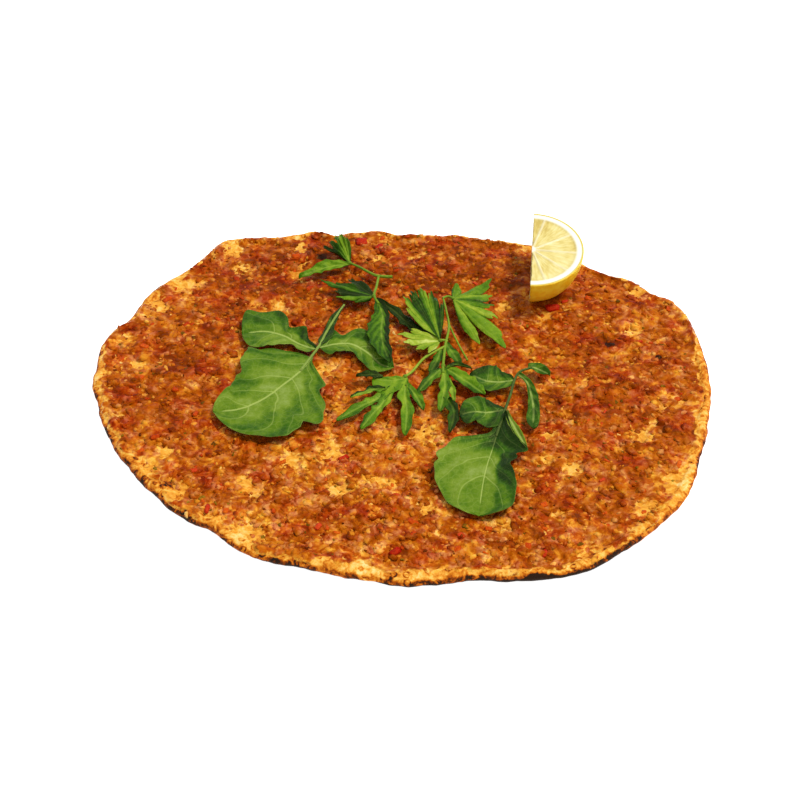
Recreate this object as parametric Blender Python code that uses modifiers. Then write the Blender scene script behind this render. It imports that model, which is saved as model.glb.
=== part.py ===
"""A lahmacun: a thin oval flatbread with a spiced mince spread, rocket, parsley and a lemon wedge.

Metres, +Z up. X runs across the bread, Y towards its far side, and it lies on Z = 0.
The functions below work in millimetres, and add_part turns each finished shape into metres.
"""

import math
import random

import bmesh
import bpy
from mathutils import Matrix, Vector, noise

MM = 0.001
NEARLY_ZERO = 1e-9
CUT_TOLERANCE = 1e-4
MERGE_DISTANCE = 1e-3
SHARP_ANGLE = 45.0

# Bread, with its rim's section given from the inside out as shares of the bare rim's width,
# further millimetres in from the edge, and shares of the rim's height
BREAD_LENGTH = 310.0
BREAD_DEPTH = 258.0
BREAD_SQUARENESS = 2.3
BREAD_SIDES = 144
DOUGH_THICKNESS = 3.5
RIM_HEIGHT = 5.7
RIM_HEIGHT_CHANGE = 1.0
RIM_RAGGEDNESS = 0.9
RIM_RAG_SIZE = 14.0
RIM_SECTION = (
    (0.62, 0.0, 1.0),
    (0.22, 0.0, 0.9),
    (0.0, 0.0, 0.52),
    (0.0, 1.2, 0.2),
    (0.0, 7.0, 0.0),
)
FLAT_MARGIN = 24.0
DOUGH_CLIMB = 0.45

# Where the hand-stretched edge swells out or falls in: degrees, millimetres, spread in degrees
RIM_SWELLS = (
    (24, 7.0, 9),
    (43, -4.5, 8),
    (98, 3.0, 6),
    (113, 5.0, 7),
    (127, 12.0, 8),
    (157, -3.0, 5),
    (167, 2.0, 4),
    (178, 2.0, 6),
    (186, -4.0, 8),
    (211, -17.0, 21),
    (231, -6.0, 10),
    (250, -8.0, 12),
    (265, -3.0, 8),
    (284, -4.0, 7),
    (306, 3.5, 8),
    (346, -4.5, 9),
)

# Mince spread
GAP = 0.3
SPREAD_THICKNESS = 2.0
SPREAD_EDGE_THICKNESS = 0.8
SPREAD_BUMP = 0.85
SPREAD_BUMP_SIZE = 17.0
SPREAD_GRAIN = 0.45
SPREAD_GRAIN_SIZE = 8.0
SPREAD_TAPER = 14.0
SPREAD_EDGE_BUMP = 0.35
BARE_RIM = 5.5
BARE_RIM_CHANGE = 1.6
BARE_RIM_SWELLS = ((182, 3.0, 16), (262, 4.0, 30), (128, 2.0, 14), (330, 1.5, 20))

# Lumps of mince, onion and pepper that stand out of the spread
LUMPS = 46
LUMP_RADIUS = (1.9, 3.0)
LUMP_WIDTHS = (0.7, 1.0)
LUMP_FLATNESS = 0.62
LUMP_SPACING = 16.0
LUMP_EDGE = 8.0
LUMP_CLEAR_OF_HERBS = 9.0
LUMP_CLEAR_OF_LEMON = 14.0
LUMP_SEED = 5

# Lemon: half of a lemon's half, standing on its trimmed end
LEMON_RADIUS = 27.0
LEMON_SIDES = 36
LEMON_RINGS = 20
LEMON_POINT = 1.04
LEMON_CORE = (68.8, 84.4)
LEMON_HEIGHT = 23.0
LEMON_LEAN = 5.5
LEMON_YAW = -4.4
LEMON_REST = 5.5
LEMON_FOOT = (76.0, 82.0)
LEMON_FOOT_RADIUS = 17.0

# Herbs
HERB_BED = 8.0
ROCKET_THICKNESS = 0.6
PARSLEY_THICKNESS = 0.5
TIP_HALF_WIDTH = 0.4
RIPPLES = 9.0
STEP = 0.02
FAN_ROOT = 0.5

COLOURS = {
    "flatbread": ((0.86, 0.58, 0.24), 0.75),
    "meat_spread": ((0.48, 0.12, 0.02), 0.5),
    "lemon_wedge": ((0.90, 0.74, 0.22), 0.4),
    "rocket": ((0.10, 0.22, 0.03), 0.5),
    "parsley": ((0.12, 0.27, 0.03), 0.5),
}


def along(values, share):
    """The value at a share, 0 to 1, of an evenly spaced list, on a smooth curve through it."""
    last = len(values) - 1
    place = min(max(share, 0.0), 1.0) * last
    i = min(int(place), last - 1)
    f = place - i
    a, b, c, d = values[max(i - 1, 0)], values[i], values[i + 1], values[min(i + 2, last)]
    bend = (2 * a - 5 * b + 4 * c - d) * f * f + (3 * b - a - 3 * c + d) * f ** 3
    return 0.5 * (2 * b + (c - a) * f + bend)


def ease(value):
    """A smooth step from 0 to 1."""
    value = min(max(value, 0.0), 1.0)
    return value * value * (3 - 2 * value)


def swell(angle, swells):
    """The sum of the swells at an angle in radians."""
    total = 0.0
    for at, amount, spread in swells:
        turn = (math.degrees(angle) - at + 180) % 360 - 180
        total += amount * math.exp(-((turn / spread) ** 2))
    return total


def rim_noise(angle, size, seed):
    """Smooth noise that runs round the rim and meets itself."""
    turn = BREAD_LENGTH / 2 / size
    return noise.noise(Vector((turn * math.cos(angle), turn * math.sin(angle), seed)))


def rim_radius(angle):
    """Distance from the middle of the bread to its edge."""
    across = abs(math.cos(angle)) / (BREAD_LENGTH / 2)
    deep = abs(math.sin(angle)) / (BREAD_DEPTH / 2)
    oval = (across ** BREAD_SQUARENESS + deep ** BREAD_SQUARENESS) ** (-1 / BREAD_SQUARENESS)
    ragged = RIM_RAGGEDNESS * rim_noise(angle, RIM_RAG_SIZE, 1.5)
    return oval + swell(angle, RIM_SWELLS) + ragged


def rim_height(angle):
    return RIM_HEIGHT + RIM_HEIGHT_CHANGE * rim_noise(angle, 2 * RIM_RAG_SIZE, 7.5)


def bare_rim(angle):
    """Width of the rim that the spread leaves bare."""
    change = BARE_RIM_CHANGE * rim_noise(angle, RIM_RAG_SIZE, 3.5)
    return BARE_RIM + swell(angle, BARE_RIM_SWELLS) + change


def spread_radius(angle):
    return rim_radius(angle) - bare_rim(angle)


def dough_level(angle, radius):
    """Height of the dough's upper face under the spread, which climbs a little at the rim."""
    start = rim_radius(angle) - FLAT_MARGIN
    climb = ease((radius - start) / FLAT_MARGIN)
    return DOUGH_THICKNESS + DOUGH_CLIMB * (rim_height(angle) - DOUGH_THICKNESS) * climb


def spread_level(angle, radius):
    """Height of the spread's upper face, with the lumps of mince in it."""
    x, y = radius * math.cos(angle), radius * math.sin(angle)
    edge = spread_radius(angle)
    inside = ease((edge - radius) / SPREAD_TAPER)
    thick = SPREAD_EDGE_THICKNESS + (SPREAD_THICKNESS - SPREAD_EDGE_THICKNESS) * inside
    bump = SPREAD_BUMP * noise.noise(Vector((x, y, 0)) / SPREAD_BUMP_SIZE)
    bump += SPREAD_GRAIN * noise.noise(Vector((x, y, 90)) / SPREAD_GRAIN_SIZE)
    bump *= SPREAD_EDGE_BUMP + (1 - SPREAD_EDGE_BUMP) * inside
    level = dough_level(angle, radius) + GAP + thick + bump
    foot = math.dist((x, y), LEMON_FOOT)
    pressed = ease(2 - foot / LEMON_FOOT_RADIUS)
    return level + (LEMON_REST - level) * pressed


def polar(angle, radius, height):
    return Vector((radius * math.cos(angle), radius * math.sin(angle), height))


def spread_foot(angle):
    """The point of the dough where the spread's edge lies."""
    radius = spread_radius(angle)
    return polar(angle, radius, dough_level(angle, radius))


def angle_of(vert):
    """The vertex's angle, on the rim's own even steps."""
    step = 2 * math.pi / BREAD_SIDES
    return round(math.atan2(vert.co.y, vert.co.x) / step) * step


def extrude_ring(bm, edges, point_at):
    """Extrudes a loop of edges into a new ring, whose points come from their angles."""
    grown = bmesh.ops.extrude_edge_only(bm, edges=edges)["geom"]
    for vert in grown:
        if isinstance(vert, bmesh.types.BMVert):
            vert.co = point_at(angle_of(vert))
    return [e for e in grown if isinstance(e, bmesh.types.BMEdge) and e.is_boundary]


def close_end(bm, edges):
    bmesh.ops.contextual_create(bm, geom=edges)
    bmesh.ops.recalc_face_normals(bm, faces=bm.faces)


def rim_point(angle, section):
    """A point of the rim at one row of RIM_SECTION."""
    share, inset, height = section
    radius = rim_radius(angle) - share * bare_rim(angle) - inset
    return polar(angle, radius, height * rim_height(angle))


def flatbread():
    """The dough: a flat middle, a puffed rim and a flat underside, as rings round one middle."""
    bm = bmesh.new()
    bmesh.ops.create_circle(bm, cap_ends=True, segments=BREAD_SIDES, radius=1)
    for vert in bm.verts:
        angle = angle_of(vert)
        vert.co = polar(angle, rim_radius(angle) - FLAT_MARGIN, DOUGH_THICKNESS)
    edges = extrude_ring(bm, list(bm.edges), spread_foot)
    for section in RIM_SECTION:
        edges = extrude_ring(bm, edges, lambda angle: rim_point(angle, section))
    close_end(bm, edges)
    return bm


def square_to_disc(x, y):
    """Angle and share of the radius for a point of a square from -1 to 1, with even spacing."""
    if max(abs(x), abs(y)) < NEARLY_ZERO:
        return 0.0, 0.0
    if abs(x) > abs(y):
        angle = math.pi / 4 * y / x + (math.pi if x < 0 else 0)
        return angle, abs(x)
    angle = math.pi / 2 - math.pi / 4 * x / y + (math.pi if y < 0 else 0)
    return angle, abs(y)


def spread_base():
    """The layer of mince: a bumpy top, and an underside that follows the dough with a gap."""
    bm = bmesh.new()
    cells = BREAD_SIDES // 4
    bmesh.ops.create_grid(bm, x_segments=cells, y_segments=cells, size=1)
    rim = [edge for edge in bm.edges if edge.is_boundary]
    for vert in bm.verts:
        angle, share = square_to_disc(vert.co.x, vert.co.y)
        radius = share * spread_radius(angle)
        vert.co = polar(angle, radius, spread_level(angle, radius))

    def lower_edge(angle):
        return spread_foot(angle) + Vector((0, 0, GAP))

    def flat_edge(angle):
        return polar(angle, rim_radius(angle) - FLAT_MARGIN, DOUGH_THICKNESS + GAP)

    rim = extrude_ring(bm, rim, lower_edge)
    rim = extrude_ring(bm, rim, flat_edge)
    close_end(bm, rim)
    return bm


def lump_places(keep_clear):
    """Evenly scattered places for the lumps, clear of the herbs, the lemon and each other."""
    draw = random.Random(LUMP_SEED)
    places = []
    while len(places) < LUMPS:
        angle = draw.uniform(0, 2 * math.pi)
        radius = math.sqrt(draw.random()) * (spread_radius(angle) - LUMP_EDGE)
        place = polar(angle, radius, 0)
        near = any((place - other).length < LUMP_SPACING for other, _ in places)
        if near or any((place - spot).length < reach for spot, reach in keep_clear):
            continue
        places.append((place, spread_level(angle, radius)))
    return places


def lumps(keep_clear):
    """Small rounded lumps, sunk about halfway into the spread."""
    draw = random.Random(LUMP_SEED + 1)
    bm = bmesh.new()
    for place, level in lump_places(keep_clear):
        size = draw.uniform(*LUMP_RADIUS)
        flat = Matrix.Diagonal((1, draw.uniform(*LUMP_WIDTHS), LUMP_FLATNESS, 1))
        turn = Matrix.Rotation(draw.uniform(0, math.pi), 4, "Z")
        spot = Matrix.Translation((place.x, place.y, level))
        bmesh.ops.create_icosphere(bm, subdivisions=1, radius=size, matrix=spot @ turn @ flat)
    return bm


def cut(bm, at, normal):
    """Cuts away what lies on the normal's side of a plane, and closes the cut."""
    geom = bm.verts[:] + bm.edges[:] + bm.faces[:]
    made = bmesh.ops.bisect_plane(
        bm, geom=geom, dist=CUT_TOLERANCE, plane_co=at, plane_no=normal, clear_outer=True
    )
    rim = [e for e in made["geom_cut"] if isinstance(e, bmesh.types.BMEdge) and e.is_boundary]
    bmesh.ops.contextual_create(bm, geom=rim)


def lemon_wedge():
    """A quarter of a lemon: cut crosswise on top, lengthwise on its left, trimmed flat below."""
    bm = bmesh.new()
    bmesh.ops.create_uvsphere(
        bm, u_segments=LEMON_SIDES, v_segments=LEMON_RINGS, radius=LEMON_RADIUS
    )
    bmesh.ops.scale(bm, vec=(1, 1, LEMON_POINT), verts=bm.verts)
    cut(bm, (0, 0, 0), (0, 0, 1))
    cut(bm, (0, 0, 0), (-1, 0, 0))
    lean = Matrix.Rotation(math.radians(LEMON_LEAN), 4, "X")
    yaw = Matrix.Rotation(math.radians(LEMON_YAW), 4, "Z")
    foot = LEMON_REST + GAP
    place = Matrix.Translation((*LEMON_CORE, foot + LEMON_HEIGHT))
    bmesh.ops.transform(bm, matrix=place @ yaw @ lean, verts=bm.verts)
    cut(bm, (0, 0, foot), (0, 0, -1))
    bmesh.ops.recalc_face_normals(bm, faces=bm.faces)
    return bm


def lifted(points):
    """Points of (x, y, lift above the herbs' bed)."""
    return [Vector((x, y, HERB_BED + lift)) for x, y, lift in points]


def sheet(name, bm, thickness):
    """An object of a thin wavy sheet, both faces split alike."""
    bmesh.ops.triangulate(bm, faces=bm.faces)
    piece = new_object(name, bm)
    wall = piece.modifiers.new("Thickness", "SOLIDIFY")
    wall.thickness = thickness
    wall.offset = 0
    return piece


def blade(
    name, spine, left, right, cells=(10, 4), curl=(1.0, 1.0), ripple=0.5, thickness=ROCKET_THICKNESS
):
    """A leaf blade along a curved spine, with its own half-width and curl on each side."""
    bm = bmesh.new()
    bmesh.ops.create_grid(bm, x_segments=cells[0], y_segments=cells[1], size=1)
    points = lifted(spine)
    for vert in bm.verts:
        share, side = (vert.co.x + 1) / 2, vert.co.y
        ahead = along(points, share + STEP) - along(points, share - STEP)
        sideways = Vector((-ahead.y, ahead.x, 0)).normalized()
        half_width = max(along(left if side > 0 else right, share), TIP_HALF_WIDTH)
        rise = curl[0] if side > 0 else curl[1]
        vert.co = along(points, share) + sideways * side * half_width
        wave = math.sin(RIPPLES * share + 2 * side)
        vert.co.z += rise * side * side + ripple * abs(side) * wave
    return sheet(name, bm, thickness)


def fan(name, base, margin, rise=1.5, pleat=0.5, rings=2):
    """A parsley leaflet that fans out from its stalk, with an angle and reach at each tip and notch."""
    bm = bmesh.new()
    last = len(margin) - 1
    bmesh.ops.create_grid(bm, x_segments=last, y_segments=rings, size=1)
    root = lifted([base])[0]
    for vert in bm.verts:
        which = round((vert.co.x + 1) / 2 * last)
        angle, reach = margin[which]
        share = (vert.co.y + 1) / 2
        out = FAN_ROOT + share * (reach - FAN_ROOT)
        fold = pleat if which % 2 else -pleat
        vert.co = root + polar(math.radians(angle), out, rise * share + fold * share)
    return sheet(name, bm, PARSLEY_THICKNESS)


def stalk(name, points, radius, end_radius):
    """A tapered round stalk, as a mesh."""
    curve = bpy.data.curves.new(name, "CURVE")
    curve.dimensions = "3D"
    curve.bevel_depth = 1
    curve.bevel_resolution = 1
    curve.use_fill_caps = True
    spline = curve.splines.new("POLY")
    path = lifted(points)
    count = 2 * len(path) - 1
    spline.points.add(count - 1)
    for k, point in enumerate(spline.points):
        share = k / (count - 1)
        point.co = (*along(path, share), 1)
        point.radius = radius + (end_radius - radius) * share
    tube = bpy.data.objects.new(name, curve)
    bpy.context.scene.collection.objects.link(tube)
    graph = bpy.context.evaluated_depsgraph_get()
    mesh = bpy.data.meshes.new_from_object(tube.evaluated_get(graph))
    bpy.data.objects.remove(tube)
    bm = bmesh.new()
    bm.from_mesh(mesh)
    bmesh.ops.remove_doubles(bm, verts=bm.verts, dist=MERGE_DISTANCE)
    return new_object(name, bm)


def knuckle(point, radius=1.0):
    """The small swelling where leaflets leave a stalk."""
    bm = bmesh.new()
    spot = Matrix.Translation(lifted([point])[0])
    bmesh.ops.create_icosphere(bm, subdivisions=1, radius=radius, matrix=spot)
    return new_object("knuckle", bm)


def new_object(name, bm):
    mesh = bpy.data.meshes.new(name)
    bm.to_mesh(mesh)
    bm.free()
    made = bpy.data.objects.new(name, mesh)
    bpy.context.scene.collection.objects.link(made)
    return made


def fused(pieces):
    """One closed shape from overlapping pieces, which are then removed."""
    host, *others = pieces
    group = bpy.data.collections.new("Pieces")
    bpy.context.scene.collection.children.link(group)
    for piece in others:
        bpy.context.scene.collection.objects.unlink(piece)
        group.objects.link(piece)
    union = host.modifiers.new("Union", "BOOLEAN")
    union.operation = "UNION"
    union.operand_type = "COLLECTION"
    union.collection = group
    union.solver = "MANIFOLD"
    graph = bpy.context.evaluated_depsgraph_get()
    mesh = bpy.data.meshes.new_from_object(host.evaluated_get(graph))
    for piece in pieces:
        bpy.data.objects.remove(piece)
    bpy.data.collections.remove(group)
    bm = bmesh.new()
    bm.from_mesh(mesh)
    bpy.data.meshes.remove(mesh)
    return bm


def rocket_leaf_left():
    """The larger rocket leaf: a stalk, two side lobes and a broad end lobe."""
    return fused([
        stalk(
            "rib",
            [(-29, 63, 1), (-34, 51, 1.2), (-38, 40, 1.2), (-41.5, 29.5, 1.2), (-50, 12, 1.2)],
            1.0,
            1.2,
        ),
        blade(
            "end lobe",
            [
                (-44, 22, 1), (-50, 11.5, 1.2), (-58, 1.5, 1.3), (-68, -9.5, 1.3),
                (-80, -16.5, 1.2), (-92, -17, 0.8),
            ],
            left=(1, 3, 14, 18, 27, 31, 31, 29, 19, 9, 1),
            right=(1, 22, 30, 31, 29, 23, 21, 19, 17, 15, 4),
            cells=(10, 6),
            curl=(1.2, 1.2),
        ),
        blade(
            "side lobe left",
            [(-42, 28, 1), (-51, 32, 1.2), (-59, 38, 1.5), (-69, 41.5, 1.5), (-81, 40.5, 1)],
            left=(1, 5, 5, 3, 6, 9, 12, 13, 13, 12, 5),
            right=(1, 3, 6, 9, 10, 6, 12, 17, 14, 16, 7),
            curl=(1.0, 0.8),
        ),
        blade(
            "side lobe right",
            [
                (-41, 29.5, 1), (-33, 32, 1.2), (-24.5, 32, 1.2), (-16, 25.5, 0.8),
                (-9.5, 17, 0.7), (-3, 15, 0.7),
            ],
            left=(1, 4, 11, 6, 12, 11, 10, 9, 8, 8, 1),
            right=(1, 7, 7, 7, 7, 6, 7, 7, 7, 4, 1),
            curl=(0.4, 0.8),
            ripple=0.2,
        ),
        blade(
            "wing",
            [(-40.5, 31.5, 1.2), (-38, 40.5, 1.4), (-34, 51.5, 1.2), (-29.5, 61.5, 1)],
            left=(1, 2, 1.5, 1.5, 2, 2, 1.5, 1),
            right=(1, 3.5, 4.5, 3.5, 2.5, 1.5, 1, 1),
            cells=(6, 2),
            curl=(0.5, 0.8),
        ),
    ])


def rocket_leaf_right():
    """The smaller rocket leaf, folded at its end lobe, with small lobes along its stalk."""
    return fused([
        stalk(
            "rib",
            [
                (66, 12, 3), (60, 9, 3), (57, 3, 3), (54.5, -8, 3.2), (52, -17, 3.4),
                (48, -31, 2.4), (45, -42, 1.4),
            ],
            0.9,
            1.3,
        ),
        blade(
            "end lobe",
            [
                (50.5, -22, 3.2), (47.5, -33, 2.2), (44.5, -44, 1.2), (41.5, -55, 0.8),
                (39, -68.5, 0.8), (36.5, -88, 0.6),
            ],
            left=(1, 3, 6, 9, 14, 17, 14, 12, 13, 15, 16, 14, 6),
            right=(1, 2, 3, 4, 12, 19, 23, 25, 25, 24, 21, 15, 4),
            cells=(12, 6),
            curl=(4.0, 1.2),
            ripple=0.4,
        ),
        blade(
            "side lobe front",
            [(51.5, -19, 3.4), (43, -21, 3.5), (36, -20.5, 3.5), (29, -22, 2.8)],
            left=(1, 6, 10, 10, 8, 7, 7, 7, 4),
            right=(1, 4, 8, 9, 10, 10, 9, 5, 1),
            cells=(8, 4),
            curl=(0.8, 0.6),
            ripple=0.3,
        ),
        blade(
            "side lobe back",
            [(57, 3, 3), (50, 2.5, 2.2), (42.5, 4.5, 1.3), (35, 10, 0.9)],
            left=(1, 4, 5, 6, 7, 7, 5, 2, 1),
            right=(1, 4, 6, 8, 11, 12, 11, 8, 1),
            cells=(8, 4),
            curl=(0.2, 1.0),
            ripple=0.2,
        ),
        blade(
            "small lobe",
            [(58.5, 7, 3), (63, 2, 2.6), (65, -8, 2), (65.5, -18, 2), (64.5, -30, 1.5)],
            left=(0.6, 1.5, 2, 2.5, 3, 3, 3, 3, 2),
            right=(0.6, 1, 1.5, 1.5, 2, 2.5, 3, 3.5, 2),
            cells=(8, 2),
        ),
        blade(
            "stalk end",
            [(64, 12, 3), (67, 12, 3.2), (70.5, 10, 3), (75, 7, 2.5)],
            left=(1, 2.5, 3, 3, 2.5, 1),
            right=(1, 2.5, 3, 3, 2.5, 1),
            cells=(4, 2),
        ),
    ])


def parsley_sprig_back():
    """The parsley sprig at the back, with leaflets off both ends of its stalk."""
    fork = (-26.5, 96, 2.0)
    knot = (-13.5, 66, 4.5)
    return fused([
        stalk(
            "stalk",
            [
                (-26.5, 96, 2.0), (-21, 92, 2.2), (-16, 87.5, 2.4), (-11.5, 84.5, 2.6),
                (-4, 84, 2.4),
            ],
            0.6,
            0.9,
        ),
        knuckle(fork),
        knuckle(knot, 1.1),
        stalk(
            "branch",
            [
                (-11.2, 84.5, 2.6), (-11.8, 79, 3.2), (-12.5, 73, 4.0), (-13.5, 66, 4.5),
                (-11, 60, 4.3),
            ],
            0.7,
            0.7,
        ),
        fan(
            "back leaflet",
            fork,
            (
                (84, 3), (92, 14), (97, 20), (100, 17), (104, 24), (108, 20), (112, 23),
                (117, 14), (124, 20), (131, 12), (138, 20), (148, 3),
            ),
            rise=2.0,
        ),
        blade(
            "folded leaflet",
            [(-26, 95, 2), (-36, 93, 2.5), (-45, 89.5, 2), (-53.5, 85, 1)],
            left=(0.6, 2, 3, 3.5, 4, 3, 2, 0.6),
            right=(0.6, 2, 4, 4.5, 4, 3, 2, 0.6),
            cells=(7, 2),
            curl=(0.5, 1.5),
            thickness=PARSLEY_THICKNESS,
        ),
        fan(
            "left leaflet",
            knot,
            (
                (100, 3), (118, 12), (130, 20), (141, 14), (150, 24), (154, 30), (160, 19),
                (168, 20), (174, 14), (180, 19), (190, 10), (202, 10), (220, 3),
            ),
            rise=-0.8,
        ),
        blade(
            "long leaflet",
            [(-12.5, 64, 4.4), (-9, 52, 4.4), (-9.5, 40, 4.2), (-8.5, 28.5, 4.2), (-5, 15, 4)],
            left=(0.6, 2.5, 4, 4, 4, 4, 4, 4, 1),
            right=(0.6, 3, 4.5, 6.5, 8, 6, 4, 4, 1),
            cells=(8, 2),
            curl=(1.5, 0.5),
            ripple=0.2,
            thickness=PARSLEY_THICKNESS,
        ),
        blade(
            "right leaflet",
            [(-12, 64.5, 4.4), (-3, 55.5, 3.2), (2.5, 49.5, 2.0), (8, 44, 1.0), (16.5, 40.5, 0.3)],
            left=(0.6, 2, 3.5, 4, 4, 3, 2, 0.6),
            right=(0.6, 2, 3, 3.5, 3.5, 3, 2, 0.6),
            cells=(7, 2),
            curl=(0.4, 0.4),
            ripple=0.1,
            thickness=PARSLEY_THICKNESS,
        ),
    ])


def parsley_sprig_middle():
    """The parsley sprig in the middle: an upright part and a side branch to the lower left."""
    return fused([
        stalk(
            "stalk",
            [
                (22.5, 64, 4), (24, 53.5, 4), (25, 42, 3.8), (23, 28.5, 3.6),
                (21.6, 13.5, 3.4), (21.6, 8, 3.2),
            ],
            0.7,
            1.0,
        ),
        stalk("stalk end", [(24.8, 45, 3.8), (29.5, 31.5, 2), (34, 19.5, 1.2)], 0.6, 0.6),
        stalk(
            "branch",
            [(23, 27.5, 3.6), (12.5, 19.5, 3), (6, 9.5, 2.4), (1.5, 5.5, 2.2)],
            0.8,
            0.8,
        ),
        stalk("upper joint", [(22, 64.5, 4), (25, 66, 4.2), (28, 64.2, 4.2)], 0.7, 0.7),
        stalk("left joint", [(24, 31, 3.6), (22.5, 32, 3.6), (20, 32, 3.6)], 0.8, 0.8),
        knuckle((20.5, 31.8, 3.6)),
        knuckle((27.4, 64.4, 4.2)),
        knuckle((21.6, 13, 3.3), 1.2),
        knuckle((2.5, 6.2, 2.2), 1.2),
        fan(
            "upper left leaflet",
            (20.5, 31.8, 3.6),
            (
                (82, 4), (86, 32), (92, 27), (98, 38), (102, 43), (106, 37), (109, 40),
                (112, 31), (117, 36), (121, 20), (126, 4),
            ),
            rise=2.5,
        ),
        fan(
            "upper right leaflet",
            (27.4, 64.4, 4.2),
            (
                (92, 3), (77, 12), (60, 8), (39, 26), (14, 14), (-8, 23), (-17, 16), (-25, 26),
                (-35, 20), (-44, 33), (-52, 24), (-59, 47), (-65, 26), (-71, 38), (-82, 4),
            ),
            rise=-1.0,
        ),
        fan(
            "pale leaflet",
            (20.5, 31.8, 3.6),
            (
                (148, 3), (160, 13), (168, 12), (176, 19), (184, 11), (195, 13), (205, 8),
                (218, 10), (230, 5), (244, 9), (262, 2),
            ),
            rise=1.2,
        ),
        blade(
            "right tooth",
            [(23.4, 32, 3.6), (27, 26, 3.2), (31, 19.5, 2.5)],
            left=(0.6, 2, 2.5, 2.5, 0.6),
            right=(0.6, 2, 2.5, 2, 0.6),
            cells=(5, 2),
            thickness=PARSLEY_THICKNESS,
        ),
        blade(
            "left tooth",
            [(22.6, 25.5, 3.6), (19, 17, 3), (15.5, 9, 2.2)],
            left=(0.6, 2, 2.5, 2.5, 0.6),
            right=(0.6, 2, 3, 2, 0.6),
            cells=(5, 2),
            thickness=PARSLEY_THICKNESS,
        ),
        fan(
            "lower leaflet",
            (21.6, 13, 3.3),
            (
                (200, 3), (216, 10), (225, 19), (235, 9), (256, 13), (266, 28), (271, 16),
                (275, 20), (281, 36), (287, 15), (308, 17), (320, 26), (331, 15), (350, 3),
            ),
            rise=-0.8,
        ),
        fan(
            "side leaflet",
            (2.5, 6.3, 2.2),
            (
                (162, 3), (172, 14), (178, 24), (182, 18), (186, 23), (194, 14), (203, 30),
                (208, 23), (213, 32), (217, 22), (221, 44), (225, 30), (230, 39), (234, 30),
                (238, 39), (243, 20), (249, 3),
            ),
            rise=0.8,
        ),
        fan(
            "front leaflet",
            (2.8, 6, 2.2),
            (
                (251, 3), (256, 15), (260, 24), (264, 27), (270, 38), (275, 20), (283, 12),
                (290, 21), (299, 10), (310, 3),
            ),
            rise=0.8,
        ),
    ])


def clear_zones(pieces):
    """Spots and reaches that keep the lumps from under the herbs and the lemon."""
    zones = [(Vector((*LEMON_FOOT, 0)), LEMON_FOOT_RADIUS + LUMP_CLEAR_OF_LEMON)]
    for bm in pieces:
        for vert in bm.verts:
            zones.append((Vector((vert.co.x, vert.co.y, 0)), LUMP_CLEAR_OF_HERBS))
    return zones


def bread_centre():
    """Middle of the box round the bread's edge, which becomes the part's origin."""
    rim = [polar(step, rim_radius(step), 0) for step in rim_angles()]
    xs, ys = [p.x for p in rim], [p.y for p in rim]
    return Vector(((min(xs) + max(xs)) / 2, (min(ys) + max(ys)) / 2, 0))


def rim_angles():
    return [2 * math.pi * k / BREAD_SIDES for k in range(BREAD_SIDES)]


def material(name):
    """A plain Principled material in the sub-part's colour."""
    colour, roughness = COLOURS[name]
    made = bpy.data.materials.get(name) or bpy.data.materials.new(name)
    made.use_nodes = True
    shader = made.node_tree.nodes["Principled BSDF"]
    shader.inputs["Base Color"].default_value = (*colour, 1)
    shader.inputs["Roughness"].default_value = roughness
    shader.inputs["Metallic"].default_value = 0
    return made


def add_part(collection, name, bm, colour):
    """Moves a shape so that the bread's middle is the origin, and adds it in metres."""
    bmesh.ops.translate(bm, vec=-bread_centre(), verts=bm.verts)
    bmesh.ops.scale(bm, vec=(MM, MM, MM), verts=bm.verts)
    mesh = bpy.data.meshes.new(name)
    bm.to_mesh(mesh)
    bm.free()
    mesh.materials.append(material(colour))
    mesh.shade_smooth()
    mesh.set_sharp_from_angle(angle=math.radians(SHARP_ANGLE))
    collection.objects.link(bpy.data.objects.new(name, mesh))


def clear_scene():
    for old in list(bpy.data.objects):
        bpy.data.objects.remove(old)


def main():
    clear_scene()
    collection = bpy.data.collections.new("lahmacun")
    bpy.context.scene.collection.children.link(collection)
    herbs = {
        "rocket_leaf_left": (rocket_leaf_left(), "rocket"),
        "rocket_leaf_right": (rocket_leaf_right(), "rocket"),
        "parsley_sprig_back": (parsley_sprig_back(), "parsley"),
        "parsley_sprig_middle": (parsley_sprig_middle(), "parsley"),
    }
    zones = clear_zones([bm for bm, _ in herbs.values()])
    spread = fused([new_object("base", spread_base()), new_object("lumps", lumps(zones))])
    add_part(collection, "flatbread", flatbread(), "flatbread")
    add_part(collection, "meat_spread", spread, "meat_spread")
    add_part(collection, "lemon_wedge", lemon_wedge(), "lemon_wedge")
    for name, (bm, colour) in herbs.items():
        add_part(collection, name, bm, colour)


main()
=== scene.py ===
"""The looks of a lahmacun: baked dough, mince, lemon, rocket and parsley.

Shapes are worked out in millimetres round the bread's own middle, with the values that its solids
have, and finished() turns each into metres in the frame.
"""

import math
import random

import bmesh
import bpy
import numpy as np
from mathutils import Matrix, Vector, noise


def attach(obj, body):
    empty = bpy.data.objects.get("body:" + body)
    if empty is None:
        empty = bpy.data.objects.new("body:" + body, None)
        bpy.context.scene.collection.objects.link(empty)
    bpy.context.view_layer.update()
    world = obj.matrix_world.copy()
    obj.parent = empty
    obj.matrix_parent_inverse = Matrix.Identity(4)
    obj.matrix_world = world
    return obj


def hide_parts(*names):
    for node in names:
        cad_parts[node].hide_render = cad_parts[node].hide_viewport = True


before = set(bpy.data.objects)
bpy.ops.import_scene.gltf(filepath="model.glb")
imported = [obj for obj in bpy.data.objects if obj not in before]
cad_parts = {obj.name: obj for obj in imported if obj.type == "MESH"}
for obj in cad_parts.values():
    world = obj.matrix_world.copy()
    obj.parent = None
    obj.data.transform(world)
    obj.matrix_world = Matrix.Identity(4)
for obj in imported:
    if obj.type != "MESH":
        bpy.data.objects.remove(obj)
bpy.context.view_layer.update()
MM = 0.001

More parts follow.
